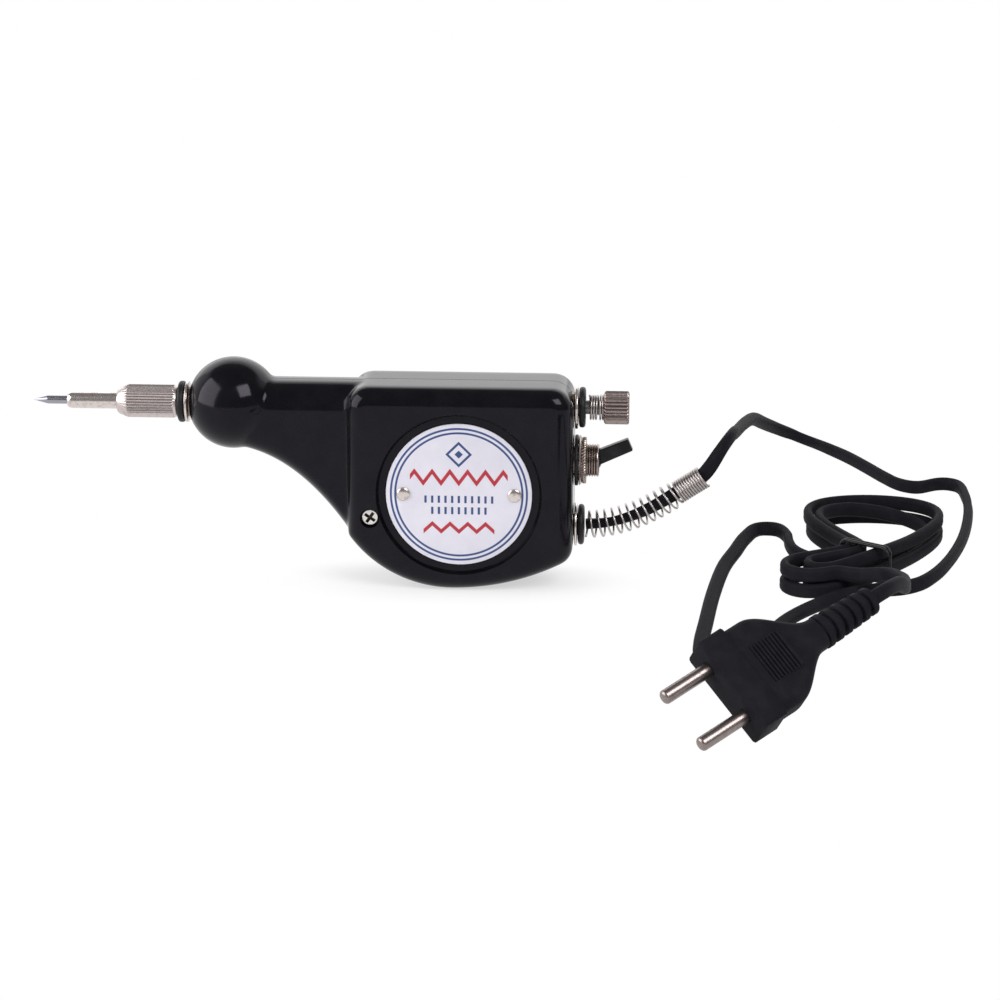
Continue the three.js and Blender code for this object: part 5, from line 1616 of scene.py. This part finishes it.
@dataclass
class ToggleSwitch:
    """Bush, ring nut, washer and lever of the panel switch."""

    bench: Bench
    pivot: float = 202.6
    tilt: float = 23.6
    thread: Place = (200.7, 205.3)
    pitch: float = 0.9
    crest: float = 5.95
    root: float = 5.35
    ridges: int = 44
    lever_length: float = 15.78
    lever_width: float = 3.2
    lever_height: Place = (5.3, 4.7)
    ball_radius: float = 4.3
    tail_radius: float = 1.2
    tail_length: float = 7.0

    def bush(self) -> None:
        """Makes the threaded bush with its flange inside the wall."""
        crest = self.crest
        rows = [(192.6, 0.0), (192.6, 7.0), (193.3, 7.0), (193.3, crest), (200.6, crest)]
        place, end = self.thread
        while place + self.pitch < end:
            rows += [
                (place + 0.12, crest), (place + self.pitch * 0.5, self.root), (place + self.pitch - 0.12, crest),
            ]
            place += self.pitch
        rows += [(205.35, crest), (205.6, 5.8), (205.8, 5.5), (205.8, 4.6), (193.3, 4.6), (193.3, 0.0)]
        piece = self.bench.object("bush", revolve(rows, SWITCH_HEIGHT, 72))
        low, high = tool_point(196.0, -6.4, SWITCH_HEIGHT - 4.6), tool_point(206.0, -5.5, SWITCH_HEIGHT - 2.6)
        self.bench.combine(piece, [self.bench.block(low, high)], Fit.CUT)
        self.bench.finish("toggle_bush", piece, Slot.NICKEL, ["switch_bush"], 40.0, Look.PANEL_METAL)

    def nut(self) -> None:
        """Makes the ring nut: a conical skirt and a knurled rim."""
        rows = [
            (198.6, 6.1), (198.6, 8.9), (198.7, 9.05), (198.9, 9.1), (199.7, 8.25), (199.75, 8.1), (199.85, 8.1),
            (199.9, 8.4), (200.0, 8.5), (201.05, 8.5), (201.2, 8.3), (201.2, 6.1), (198.6, 6.1),
        ]
        shape = revolve(rows, SWITCH_HEIGHT, self.ridges * 5)
        knurl(shape, SWITCH_HEIGHT, self.ridges, (199.88, 201.25), 8.2, 0.42)
        self.bench.finish("toggle_ring_nut", shape, Slot.NICKEL, ["switch_ring_nut"], 50.0, Look.PANEL_METAL)

    def lever(self) -> None:
        """Makes the flat lever with its ball and tail."""
        pivot = Matrix.Translation(tool_point(self.pivot, 0, SWITCH_HEIGHT))
        turn = pivot @ Matrix.Rotation(-math.radians(self.tilt), 4, "Y")
        bat = bmesh.new()
        bmesh.ops.create_cube(bat, size=1.0, matrix=Matrix.Translation((0.5, 0, 0)))
        for vert in bat.verts:
            height = self.lever_height[0 if vert.co.x < 0.5 else 1]
            vert.co = Vector((vert.co.x * self.lever_length, vert.co.y * self.lever_width, vert.co.z * height))
        bmesh.ops.bevel(bat, geom=bat.edges[:], offset=0.35, affect="EDGES", segments=4, profile=0.5, material=-1)
        bmesh.ops.transform(bat, matrix=turn, verts=bat.verts)
        piece = self.bench.object("bat", cleaned(bat))
        ball = bmesh.new()
        bmesh.ops.create_uvsphere(ball, u_segments=40, v_segments=24, radius=self.ball_radius, matrix=turn)
        tail = bmesh.new()
        bmesh.ops.create_cone(
            tail, cap_ends=True, segments=24, radius1=self.tail_radius, radius2=self.tail_radius,
            depth=self.tail_length, matrix=turn @ Matrix.Translation((-self.tail_length / 2, 0, 0)) @ ALONG,
        )
        self.bench.combine(piece, [self.bench.object("ball", ball), self.bench.object("tail", tail)], Fit.JOIN)
        self.bench.finish("toggle_lever", piece, Slot.SWITCH_BLACK, ["switch_lever"], 35.0)

    def build(self) -> None:
        """Makes the pieces of the switch that show."""
        self.bush()
        self.nut()
        self.lever()
        washer = revolve(rounded_ring((197.1, 198.3), 6.25, 9.25, 0.35, 3), SWITCH_HEIGHT, 72)
        self.bench.finish("toggle_washer", washer, Slot.RUBBER, ["switch_washer"], 50.0)


@dataclass
class Relief:
    """Grommet, washer and the long spring round the cord."""

    bench: Bench
    gland_end: float = 200.6
    wire: float = 0.39
    close_wire: float = 0.49
    open_length: float = 36.0
    close_length: float = 10.9
    bend: float = 33.5
    bend_power: float = 1.6
    open_radius: float = 4.75
    close_radius: float = 3.85
    open_curls: float = 12.0
    close_curls: float = 11.0
    rise: float = 0.5

    def axis(self) -> list[Vector]:
        """Centreline of the spring, level at the grommet and bending upward.

        Returns:
            Its points, from the grommet on.
        """
        points = [Vector((self.gland_end - HALF_LENGTH + 0.6, 0, CORD_HEIGHT))]
        length = self.open_length + self.close_length
        count = 240
        for i in range(count):
            share = min((i + 0.5) * length / count / self.open_length, 1.0)
            angle = math.radians(self.bend) * (1 - (1 - share) ** self.bend_power)
            step = Vector((math.cos(angle), 0, math.sin(angle))) * (length / count)
            points.append(points[-1] + step)
        return points

    def spring(self) -> None:
        """Makes the spring, wound open and then close."""
        axis = self.axis()
        length = self.open_length + self.close_length
        curls = self.open_curls + self.close_curls
        count = int(curls * 36)
        path, outs, scales = [], [], []
        across = Vector((0, 1, 0))
        for i in range(count + 1):
            turn = curls * i / count
            opened = min(turn / self.open_curls, 1.0)
            closed = max((turn - self.open_curls) / self.close_curls, 0.0)
            share = (self.open_length * opened + self.close_length * closed) / length
            place = share * (len(axis) - 1)
            j = min(int(place), len(axis) - 2)
            centre = axis[j].lerp(axis[j + 1], place - j)
            along = (axis[j + 1] - axis[j]).normalized()
            up = along.cross(across)
            blend = min(max(turn - self.open_curls + 1, 0.0), 1.0)
            radius = self.open_radius + (self.close_radius - self.open_radius) * blend
            out = (up * -math.cos(TAU * turn) + across * math.sin(TAU * turn)).normalized()
            path.append(centre + out * radius)
            outs.append(out)
            scales.append(1 + (self.close_wire / self.wire - 1) * blend)
        shape = sweep(path, outs, circle(self.wire, 10), scales)
        self.bench.finish("cord_spring", shape, Slot.NICKEL, ["relief_spring"], 70.0, Look.SPRING_WIRE)

    def cord_points(self) -> list[Vector]:
        """Points of the cord inside the spring, rising to its upper side at the far end.

        Returns:
            The points.
        """
        axis = self.axis()
        slope = math.radians(self.bend)
        lift = Vector((-math.sin(slope), 0, math.cos(slope))) * self.rise
        spans = 6
        return [
            axis[round(i * (len(axis) - 1) / spans)] + lift * (i / spans) ** 4 for i in range(spans + 1)
        ]

    def build(self) -> None:
        """Makes grommet, washer and spring."""
        rows = [
            (193.6, 3.05), (193.6, 3.95), (198.3, 3.95), (198.3, 6.2), (198.45, 6.8), (198.8, 7.25), (199.2, 7.4),
            (199.7, 7.4), (200.1, 7.25), (200.45, 6.8), (self.gland_end, 6.2), (self.gland_end, 3.4),
            (200.45, 3.05), (193.6, 3.05),
        ]
        self.bench.finish("cord_gland", revolve(rows, CORD_HEIGHT, 72), Slot.RUBBER, ["cord_grommet"], 40.0)
        washer = revolve(rounded_ring((197.1, 198.0), 4.25, 7.9, 0.25, 3), CORD_HEIGHT, 72)
        self.bench.finish("gland_washer", washer, Slot.NICKEL, ["cord_washer"], 50.0)
        self.spring()


@dataclass
class Plug:
    """Moulded two-pin plug with a bottle-shaped body and a ribbed relief."""

    bench: Bench
    place: Point = (141.9, -161.4, 16.1)
    along: Point = (0.751, 0.578, 0.32)
    face: Point = (0.233, -0.685, 0.69)
    body_length: float = 38.0
    barrel_start: float = 4.7
    grip_end: float = 17.0
    barrel_width: Place = (33.0, 11.0)
    barrel_half: Place = (6.6, 4.7)
    flange_half: Place = (17.45, 7.2)
    flange_length: float = 9.5
    relief_length: float = 24.0
    relief_radius: Place = (5.9, 4.8)
    relief_rings: int = 6
    pin_radius: float = 2.4
    pin_length: float = 19.0
    pin_root: float = 6.0
    pin_spacing: float = 19.0

    def frame(self) -> Matrix:
        """Place of the plug: its length, its width and its upper face as axes.

        Returns:
            The matrix from the plug's own millimetres to the shared frame's.
        """
        along = Vector(self.along).normalized()
        face = Vector(self.face)
        face = (face - along * face.dot(along)).normalized()
        across = face.cross(along)
        turn = Matrix((along, across, face)).transposed().to_4x4()
        return Matrix.Translation(Vector(self.place)) @ turn

    def section(self, x: float, wide: float, thick: float, edge: float) -> list[Vector]:
        """Rounded rectangle across the plug.

        Args:
            x: Its place along the plug.
            wide: Half its width.
            thick: Half its thickness.
            edge: Rounding of its corners.

        Returns:
            Points of the section.
        """
        steps = 8
        points = []
        for a, b, quarter in ((1, 1, 0), (-1, 1, 1), (-1, -1, 2), (1, -1, 3)):
            for k in range(steps + 1):
                angle = (quarter + k / steps) * math.pi / 2
                points.append(Vector((
                    x, a * (wide - edge) + edge * math.cos(angle), b * (thick - edge) + edge * math.sin(angle),
                )))
        return points

    def lathe(self, rows: Profile, steps: int) -> bmesh.types.BMesh:
        """Turns rows of place along the plug and radius round the plug's middle."""
        return spun([Vector((x, radius, 0)) for x, radius in rows], Vector((1, 0, 0)), Vector((0, 0, 0)), steps)

    def flange(self) -> bmesh.types.BMesh:
        """The flat flange that the pins stand in.

        Returns:
            The closed flange.
        """
        wide, thick = self.flange_half
        length = self.flange_length
        rows = ((0, 0.5), (0.12, 0.2), (0.4, 0.0), (length - 0.4, 0.0), (length - 0.12, 0.2), (length, 0.5))
        return loft([self.section(x, wide - drop, thick - drop, 1.4) for x, drop in rows])

    def barrel(self) -> bmesh.types.BMesh:
        """The body behind the flange, which narrows like a bottle.

        Returns:
            The closed body.
        """
        spans = 40
        (wide, narrow), (thick, thin) = self.barrel_width, self.barrel_half
        sections = []
        for i in range(spans + 1):
            x = self.barrel_start + (self.body_length + 1 - self.barrel_start) * i / spans
            share = min(max((x - self.grip_end) / (self.body_length - self.grip_end), 0.0), 1.0)
            half_width = (wide + (narrow - wide) * (0.5 - 0.5 * math.cos(math.pi * share))) / 2
            half_thick = thick + (thin - thick) * share
            sections.append(self.section(x, half_width, half_thick, min(3.6, half_thick - 0.3)))
        return loft(sections)

    def cord_relief(self) -> bmesh.types.BMesh:
        """The ribbed relief round the cord.

        Returns:
            The closed relief.
        """
        pitch, (first, last) = self.relief_length / self.relief_rings, self.relief_radius
        rows = [(self.body_length - 1.5, 0.0), (self.body_length - 1.5, 4.6)]
        for i in range(self.relief_rings):
            x = self.body_length + i * pitch
            outer = first + (last - first) * i / (self.relief_rings - 1)
            rows += [
                (x + pitch * 0.38, outer - 1.3), (x + pitch * 0.42, outer - 0.22), (x + pitch * 0.48, outer),
                (x + pitch * 0.94, outer), (x + pitch * 1.0, outer - 0.22), (x + pitch * 1.04, outer - 1.3),
            ]
        end = self.body_length + self.relief_length
        rows[-3:] = [(end - 0.45, last), (end - 0.1, last - 0.2), (end, last - 0.6), (end, 0.0)]
        return self.lathe(rows, 48)

    def slab(self, name: str, centre: Point, size: Point, edge: float, bends: int) -> bpy.types.Object:
        """A block with rounded edges.

        Args:
            name: Its name.
            centre: Its middle on the plug.
            size: Its size along, across and through the plug.
            edge: Rounding of its edges.
            bends: Steps of the rounding.

        Returns:
            The block.
        """
        shape = bmesh.new()
        bmesh.ops.create_cube(shape, size=1.0, matrix=Matrix.Translation(centre) @ Matrix.Diagonal((*size, 1)))
        bmesh.ops.bevel(
            shape, geom=shape.edges[:], offset=edge, affect="EDGES", segments=bends, profile=0.5, material=-1,
        )
        return self.bench.object(name, cleaned(shape))

    def grip(self) -> list[bpy.types.Object]:
        """The raised pad of the upper face with its ribs, the last of them broader.

        Returns:
            The pad and the ribs.
        """
        ribs = [(13.2 + 1.32 * i, 0.72) for i in range(8)] + [(24.2, 1.5)]
        pad = self.slab("pad", (18.9, 0, 5.75), (12.8, 14.8, 1.9), 0.3, 3)
        return [pad] + [self.slab("rib", (x, 0, 6.35), (length, 14.2, 2.0), 0.2, 2) for x, length in ribs]

    def body(self) -> bpy.types.Object:
        """The moulded body with flange, relief and grip.

        Returns:
            The body in one piece, with the holes of the cord and the pins.
        """
        bench = self.bench
        base = bench.object("flange", self.flange())
        pieces = [bench.object("barrel", self.barrel()), bench.object("relief", self.cord_relief())]
        bench.combine(base, pieces + self.grip(), Fit.JOIN)
        end = self.body_length + self.relief_length
        holes = [bench.cylinder(Vector((end, 0, 0)), 3.1, 10.0, ALONG, 40)]
        for side in (-1, 1):
            holes.append(bench.cylinder(Vector((2.0, side * self.pin_spacing / 2, 0)), 2.55, 8.6, ALONG, 40))
        return bench.combine(base, holes, Fit.CUT)

    def build(self) -> list[bpy.types.Object]:
        """Makes body and pins.

        Returns:
            The pieces at the cord's end.
        """
        place = Matrix.Scale(MM, 4) @ self.frame() @ Matrix.Scale(1 / MM, 4)
        body = self.body()
        body.data.transform(place)
        made = [self.bench.finish("plug_moulding", body, Slot.CORD, ["plug_body"], 40.0)]
        tip, radius = -self.pin_length, self.pin_radius
        edge = radius / 2
        rows = [
            (tip, 0.0), (tip, edge), *bow((tip + edge, edge), -edge, edge, 8, 1),
            (self.pin_root, radius), (self.pin_root, 0.0),
        ]
        for number, side in enumerate((1, -1), 1):
            pin = self.lathe(rows, 40)
            bmesh.ops.translate(pin, vec=(0, side * self.pin_spacing / 2, 0), verts=pin.verts)
            piece = self.bench.object("pin", pin)
            piece.data.transform(place)
            made.append(self.bench.finish(
                f"contact_pin_{number}", piece, Slot.NICKEL, [f"plug_pin_{number}"], 40.0, Look.PIN,
            ))
        return made


@dataclass
class MainsCord:
    """Flat twin cord: lead, hank with its tie, and tail to the plug.

    Each point of the lead has a fourth value, the roll in degrees of the cord's width from
    upright. The lead's points lie at one height where it runs on the floor. The hank's turns
    are counted from the right of its waist. Each of shift_in, shift_out and climb holds the
    turns at which a change starts and ends: a smaller loop, the full loop again, and the
    second layer.
    """

    bench: Bench
    relief: Relief
    plug: Plug
    width: float = 5.4
    thickness: float = 3.4
    step: float = 1.3
    tightest: float = 4.4
    easing: int = 40
    floor_run: float = 2.9
    floor_gap: float = 0.15
    floor_reach: Place = (3.4, 6.0)
    rising_rows: int = 3
    waist: Place = (194.4, 5.5)
    heading: float = 56.0
    bend_share: float = 0.66
    bend_reach: float = 10.0
    start_turn: float = 0.57
    turns: float = 3.33
    steps_per_turn: int = 48
    shift_in: Place = (1.3, 1.48)
    shift_out: Place = (2.9, 3.12)
    climb: Place = (2.12, 2.3)
    upper_reach: float = 62.0
    lower_reach: float = 30.5
    upper_bulge: float = 48.0
    lower_bulge: float = 12.0
    waist_half: float = 6.3
    waist_step: float = 4.1
    lobe_step: float = 3.5
    ground: float = 2.8
    layer: float = 5.95
    lift: float = 1.7
    lift_reach: float = 14.0
    plugged: float = 4.7
    lead: tuple[tuple[float, float, float, float], ...] = (
        (136.9, 0, 43.8, 2), (140, 1.7, 48.4, 0), (142.7, 6, 51.4, 2), (144.6, 13, 52, 8), (147, 45, 44.8, 10),
        (150.8, 85, 37, 10), (155.2, 125, 27.8, 14), (160.2, 155, 17.8, 30), (166.2, 173, 10.6, 44),
        (173, 181.5, 5.8, 48), (180.4, 180.5, 3.4, 38), (187.7, 171, 2.9, 22), (195, 158.5, 2.9, 10),
        (201.6, 144.7, 2.9, 8), (208, 130.5, 2.9, 8), (213.8, 120.3, 2.9, 8), (220.2, 116.6, 2.9, 8),
        (226.6, 120.6, 2.9, 10), (231.8, 124.6, 2.9, 10), (236.8, 119.4, 2.9, 8), (238.6, 105, 2.9, 8),
        (238.4, 88, 2.9, 13), (235.8, 64.3, 2.9, 8), (231.8, 42.5, 2.9, 2), (225.6, 19.8, 2.9, 0),
        (219.8, 4.5, 2.9, 6), (213.3, -6.5, 2.9, 14), (206.5, -11.5, 2.9, 24), (198.5, -13.8, 2.9, 34),
        (187.5, -19, 2.9, 48), (174.5, -32.5, 2.9, 62), (163, -51, 2.9, 74), (157, -72, 2.9, 84),
        (155.2, -87, 2.9, 90), (151.8, -96, 2.9, 90), (144.8, -100, 2.9, 90), (137.8, -96, 2.9, 92),
        (134.4, -87, 2.9, 96), (134.2, -75, 2.9, 101), (136, -52, 2.9, 108), (138.8, -20, 2.9, 115),
        (143, 12, 2.9, 118), (147.2, 30, 2.9, 122), (151.4, 47, 2.9, 134), (156.6, 58, 2.9, 152),
        (163.4, 57, 2.9, 170), (167, 48.5, 2.9, 180), (167.6, 39, 2.9, 180), (169.2, 30, 2.9, 180),
        (173, 22.4, 3.1, 180), (178.2, 16.6, 3.6, 180), (184, 11.3, 4.2, 180),
    )
    tail: tuple[Point, ...] = (
        (190, -17.5, 9.4), (200, -25, 12.2), (204.6, -40, 15.4), (204, -68, 22.5), (201.6, -95, 31),
        (198.4, -109, 36.2),
    )

    def hank_axis(self, along: float) -> tuple[Vector, Vector]:
        """Bent axis of the hank.

        Args:
            along: Distance from the waist.

        Returns:
            The axis' point and its direction there.
        """
        angle = math.radians(self.heading)
        forward = Vector((math.cos(angle), math.sin(angle), 0))
        aside = Vector((-math.sin(angle), math.cos(angle), 0))
        root = math.hypot(along, self.bend_reach)
        point = Vector((*self.waist, 0)) + forward * along + aside * (self.bend_share * (root - self.bend_reach))
        return point, (forward + aside * (self.bend_share * along / root)).normalized()

    def hank_point(self, turn: float) -> Vector:
        """Point of the hank after a number of turns, counted from the right of its waist.

        Args:
            turn: The number of turns.

        Returns:
            The point, at the height of its layer.
        """
        angle = TAU * turn
        inward = smoothstep(turn, *self.shift_in) - smoothstep(turn, *self.shift_out)
        lobe = abs(math.sin(angle)) ** 1.5
        upper = math.sin(angle) >= 0
        shift = inward * (self.waist_step + self.lobe_step * lobe)
        reach = (self.upper_reach if upper else self.lower_reach) - shift
        half = self.waist_half - shift + (self.upper_bulge if upper else self.lower_bulge) * lobe
        along = reach * math.sin(angle)
        point, tangent = self.hank_axis(along)
        point += Vector((tangent.y, -tangent.x, 0)) * (half * math.cos(angle))
        bulge = math.exp(-((along / self.lift_reach) ** 2))
        point.z = self.ground + self.layer * smoothstep(turn, *self.climb) + self.lift * bulge
        return point

    def route(self) -> list[Vector]:
        """The cord's whole centreline from the grommet into the plug.

        Returns:
            Its points at an even step.
        """
        points = self.relief.cord_points()
        points += [Vector(p[:3]) for p in self.lead]
        count = round(self.turns * self.steps_per_turn)
        points += [self.hank_point(self.start_turn + self.turns * i / count) for i in range(count + 1)]
        points += [Vector(p) for p in self.tail]
        end = self.plug.body_length + self.plug.relief_length
        frame = self.plug.frame()
        points += [frame @ Vector((end + self.width, 0, 0)), frame @ Vector((end - self.plugged, 0, 0))]
        return evened(relaxed(smooth_run(points, self.step), self.tightest, self.easing), self.step)

    def turned(self, path: Sequence[Vector]) -> list[Vector]:
        """Lays the cord on its flat side or on its edge as it goes, and sets it on the floor.

        Args:
            path: Points of the centreline, whose height is corrected in place.

        Returns:
            Direction of the section's width at each point.
        """
        at, i = [0], 0
        for x, y, z, _ in self.lead:
            i = min(range(i, min(i + 60, len(path))), key=lambda k: (path[k] - Vector((x, y, z))).length)
            at.append(i)
        rolls = [90.0] + [row[3] for row in self.lead]
        outs = []
        for k, point in enumerate(path):
            j = max(place for place in range(len(at)) if at[place] <= k)
            if j == len(at) - 1:
                roll = rolls[j]
            else:
                roll = rolls[j] + (rolls[j + 1] - rolls[j]) * (k - at[j]) / max(at[j + 1] - at[j], 1)
            roll = math.radians(roll)
            along = (path[min(k + 1, len(path) - 1)] - path[max(k - 1, 0)]).normalized()
            side = along.cross(Vector((0, 0, 1))).normalized()
            outs.append(side.cross(along) * math.cos(roll) + side * math.sin(roll))
            if k < at[-1 - self.rising_rows] and point.z < self.floor_reach[1]:
                rest = self.thickness / 2 + self.floor_gap + (self.width - self.thickness) / 2 * abs(math.cos(roll))
                point.z += (rest - self.floor_run) * (1 - smoothstep(point.z, *self.floor_reach))
        return outs

    def section(self) -> list[Place]:
        """Flat oval section with a faint groove between the two cores.

        Returns:
            Its points, the first value across the flat side and the second along it.
        """
        half = self.thickness / 2
        groove = half - 0.06
        points = []
        for turn, aside in ((0, 1), (1, -1)):
            middle = aside * (self.width / 2 - half)
            for k in range(9):
                angle = math.pi * (turn + k / 8)
                points.append((half * math.cos(angle), middle + half * math.sin(angle)))
            points.append((-aside * groove, 0.0))
        return points

    def tie(self) -> bpy.types.Object:
        """Wire tie, two turns round the waist.

        Returns:
            The finished tie.
        """
        waist, forward = self.hank_axis(0)
        aside = Vector((forward.y, -forward.x, 0))
        radius, corner, ease, gap, pitch = 0.65, 2.7, 1.5, 0.3, 1.8
        across = self.waist_half + self.thickness / 2 + ease + radius - corner
        tall = self.layer / 2 + self.width / 2 + gap + radius - corner
        middle = self.ground + self.lift + self.layer / 2
        path, outs = [], []
        per = 10
        for i in range(4 * per * 2):
            quarter = i // per
            angle = (quarter + (i % per) / (per - 1)) * math.pi / 2
            sideways = across if quarter % 4 in (0, 3) else -across
            upward = tall if quarter % 4 < 2 else -tall
            point = waist + forward * (pitch * (i / (4 * per) - 1))
            point += aside * (sideways + corner * math.cos(angle))
            point.z = middle + upward + corner * math.sin(angle)
            path.append(point)
            outs.append(forward)
        shape = sweep(path, outs, circle(radius, 12))
        return self.bench.finish("waist_tie", shape, Slot.SWITCH_BLACK, ["hank_tie"], 60.0)

    def build(self) -> None:
        path = self.route()
        outs = self.turned(path)
        shape = sweep(path, outs, self.section())
        cord = self.bench.finish("mains_cord", shape, Slot.CORD, ["cord_lead", "cord_hank", "cord_tail"], 60.0)
        length = sum((b - a).length for a, b in zip(path, path[1:]))
        tie = self.tie()
        ends = self.plug.build()
        log.info("cord length %.1f mm", length)
        tuple(path[0] * MM)
        [tuple(p * MM) for p in path]


@dataclass
class Inside:
    """The solids of the mechanism, which keep their shape and get their finishes."""

    bench: Bench
    frame: dict

    def build(self) -> None:
        """Dresses every node. Only the nodes that no piece stands for are seen."""
        slots = {row["node"]: Slot(row["material_slot"]) for row in self.frame["record"]["subparts"]}
        for name, solid in self.frame["nodes"].items():
            solid.data.materials.clear()
            solid.data.materials.append(self.bench.finishes.get(slots[name]))


@dataclass(frozen=True)
class Lamp:
    """A soft rectangular lamp, in metres and watts."""

    name: str
    place: Point
    target: Point
    size: Place
    power: float

    def build(self) -> None:
        """Adds the lamp, turned to its target."""
        data = bpy.data.lights.new(self.name, "AREA")
        data.shape, data.energy = "RECTANGLE", self.power
        data.size, data.size_y = self.size
        lamp = bpy.data.objects.new(self.name, data)
        aim = (Vector(self.target) - Vector(self.place)).to_track_quat("-Z", "Y")
        lamp.matrix_world = Matrix.Translation(self.place) @ aim.to_matrix().to_4x4()
        bpy.context.scene.collection.objects.link(lamp)


@dataclass
class Studio:
    """Floor, lamps, room and the photograph's camera, whose angles are in degrees."""

    azimuth: float = 3.21
    elevation: float = 16.77
    distance: float = 1200.0
    aim: Point = (60.83, 0.0, 30.06)
    lens: float = 118.616
    foot: Place = (44.0, -4.0)
    shadow: Place = (74.0, 30.0)
    glow: Place = (0.58, 1.0)
    room: float = 0.22
    lamps: tuple[Lamp, ...] = (
        Lamp("rear_panel", (0.05, 1.0, 0.61), (0.0, 0.0, 0.04), (2.4, 1.0), 6.2),
        Lamp("left_window", (-1.14, -0.43, 0.66), (0.0, 0.0, 0.30), (1.25, 1.25), 21.0),
        Lamp("right_window", (0.67, -0.80, 0.97), (0.0, 0.0, 0.04), (0.7, 0.7), 11.5),
    )

    def camera(self) -> None:
        """Places the camera."""
        turn, lift = math.radians(self.azimuth), math.radians(self.elevation)
        back = Vector((math.sin(turn) * math.cos(lift), -math.cos(turn) * math.cos(lift), math.sin(lift)))
        right = Vector((math.cos(turn), math.sin(turn), 0))
        up = back.cross(right)
        data = bpy.data.cameras.new("camera")
        data.lens, data.sensor_width, data.sensor_fit = self.lens, 36.0, "HORIZONTAL"
        data.clip_start, data.clip_end = 0.05, 20.0
        camera = bpy.data.objects.new("camera", data)
        place = Matrix.Translation((Vector(self.aim) + back * self.distance) * MM)
        camera.matrix_world = place @ Matrix((right, up, back)).transposed().to_4x4()
        bpy.context.scene.collection.objects.link(camera)
        bpy.context.scene.camera = camera

    def floor(self) -> None:
        """Makes the pale floor, which the camera sees as white with a soft shadow under the tool."""
        shape = bmesh.new()
        bmesh.ops.create_grid(shape, x_segments=2, y_segments=2, size=6.0)
        mesh = bpy.data.meshes.new("floor")
        shape.to_mesh(mesh)
        shape.free()
        floor = bpy.data.objects.new("floor", mesh)
        bpy.context.scene.collection.objects.link(floor)
        shade = Shading("pale_floor")
        rays = shade.node("ShaderNodeLightPath")
        seen = shade.value(rays.outputs["Is Camera Ray"]) + shade.value(rays.outputs["Is Glossy Ray"])
        seen = (seen + shade.value(rays.outputs["Is Transmission Ray"])).least(1.0)
        along, across, _ = shade.axes()
        x, y = (along - self.foot[0]) / self.shadow[0], (across - self.foot[1]) / self.shadow[1]
        away = (x * x + y * y).root().step(0.45, 1.0)
        glow = shade.node("ShaderNodeEmission", Color=(1.0, 1.0, 1.0), Strength=1.0)
        mixed = shade.node("ShaderNodeMixShader")
        shade.set(Base_Color=(0.9, 0.9, 0.91), Roughness=0.6, Specular_IOR_Level=0.1)
        near, far = self.glow
        shade.feed(mixed, "0", seen * (away * (far - near) + near))
        shade.feed(mixed, "1", shade.shader.outputs[0])
        shade.feed(mixed, "2", glow.outputs[0])
        output = shade.tree.nodes["Material Output"]
        shade.tree.links.new(mixed.outputs[0], output.inputs["Surface"])
        mesh.materials.append(shade.material)

    def world(self) -> None:
        """Makes a dim plain room, white to the camera and in mirror images of the room behind the tool."""
        world = bpy.data.worlds.new("room")
        bpy.context.scene.world = world
        world.use_nodes = True
        nodes = Nodes(world.node_tree)
        background = nodes.tree.nodes["Background"]
        nodes.feed(background, "Color", (1, 1, 1, 1))
        rays = nodes.node("ShaderNodeLightPath").outputs
        place = nodes.node("ShaderNodeTexCoord").outputs["Generated"]
        heading = nodes.node("ShaderNodeSeparateXYZ", Vector=place).outputs
        rear = nodes.value(heading[1]).step(-0.1, 0.3)
        low = 1.0 - nodes.value(heading[2]).step(0.55, 0.80)
        mirrored = nodes.value(rays["Is Glossy Ray"]).most(nodes.value(rays["Is Transmission Ray"])) * rear * low
        strength = mirrored.most(nodes.value(rays["Is Camera Ray"])).most(self.room)
        nodes.feed(background, "Strength", strength)

    def build(self) -> None:
        """Makes camera, floor, lamps and room."""
        self.camera()
        self.floor()
        for lamp in self.lamps:
            lamp.build()
        self.world()
        bpy.context.scene.view_settings.view_transform = "Standard"


def main() -> None:
    """Builds the engraver's looks in order."""
    logging.basicConfig(level=logging.INFO, format="%(name)s: %(message)s")
    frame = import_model()
    Studio().build()
    bench = Bench(frame, Finishes())
    relief = Relief(bench)
    parts = (
        MainsCord(bench, relief, Plug(bench)), relief, Casing(bench), Label(bench), Screws(bench), Chuck(bench),
        Washers(bench), StrokeKnob(bench), ToggleSwitch(bench), Inside(bench, frame),
    )
    for part in parts:
        part.build()


if __name__ == "__main__":
    main()
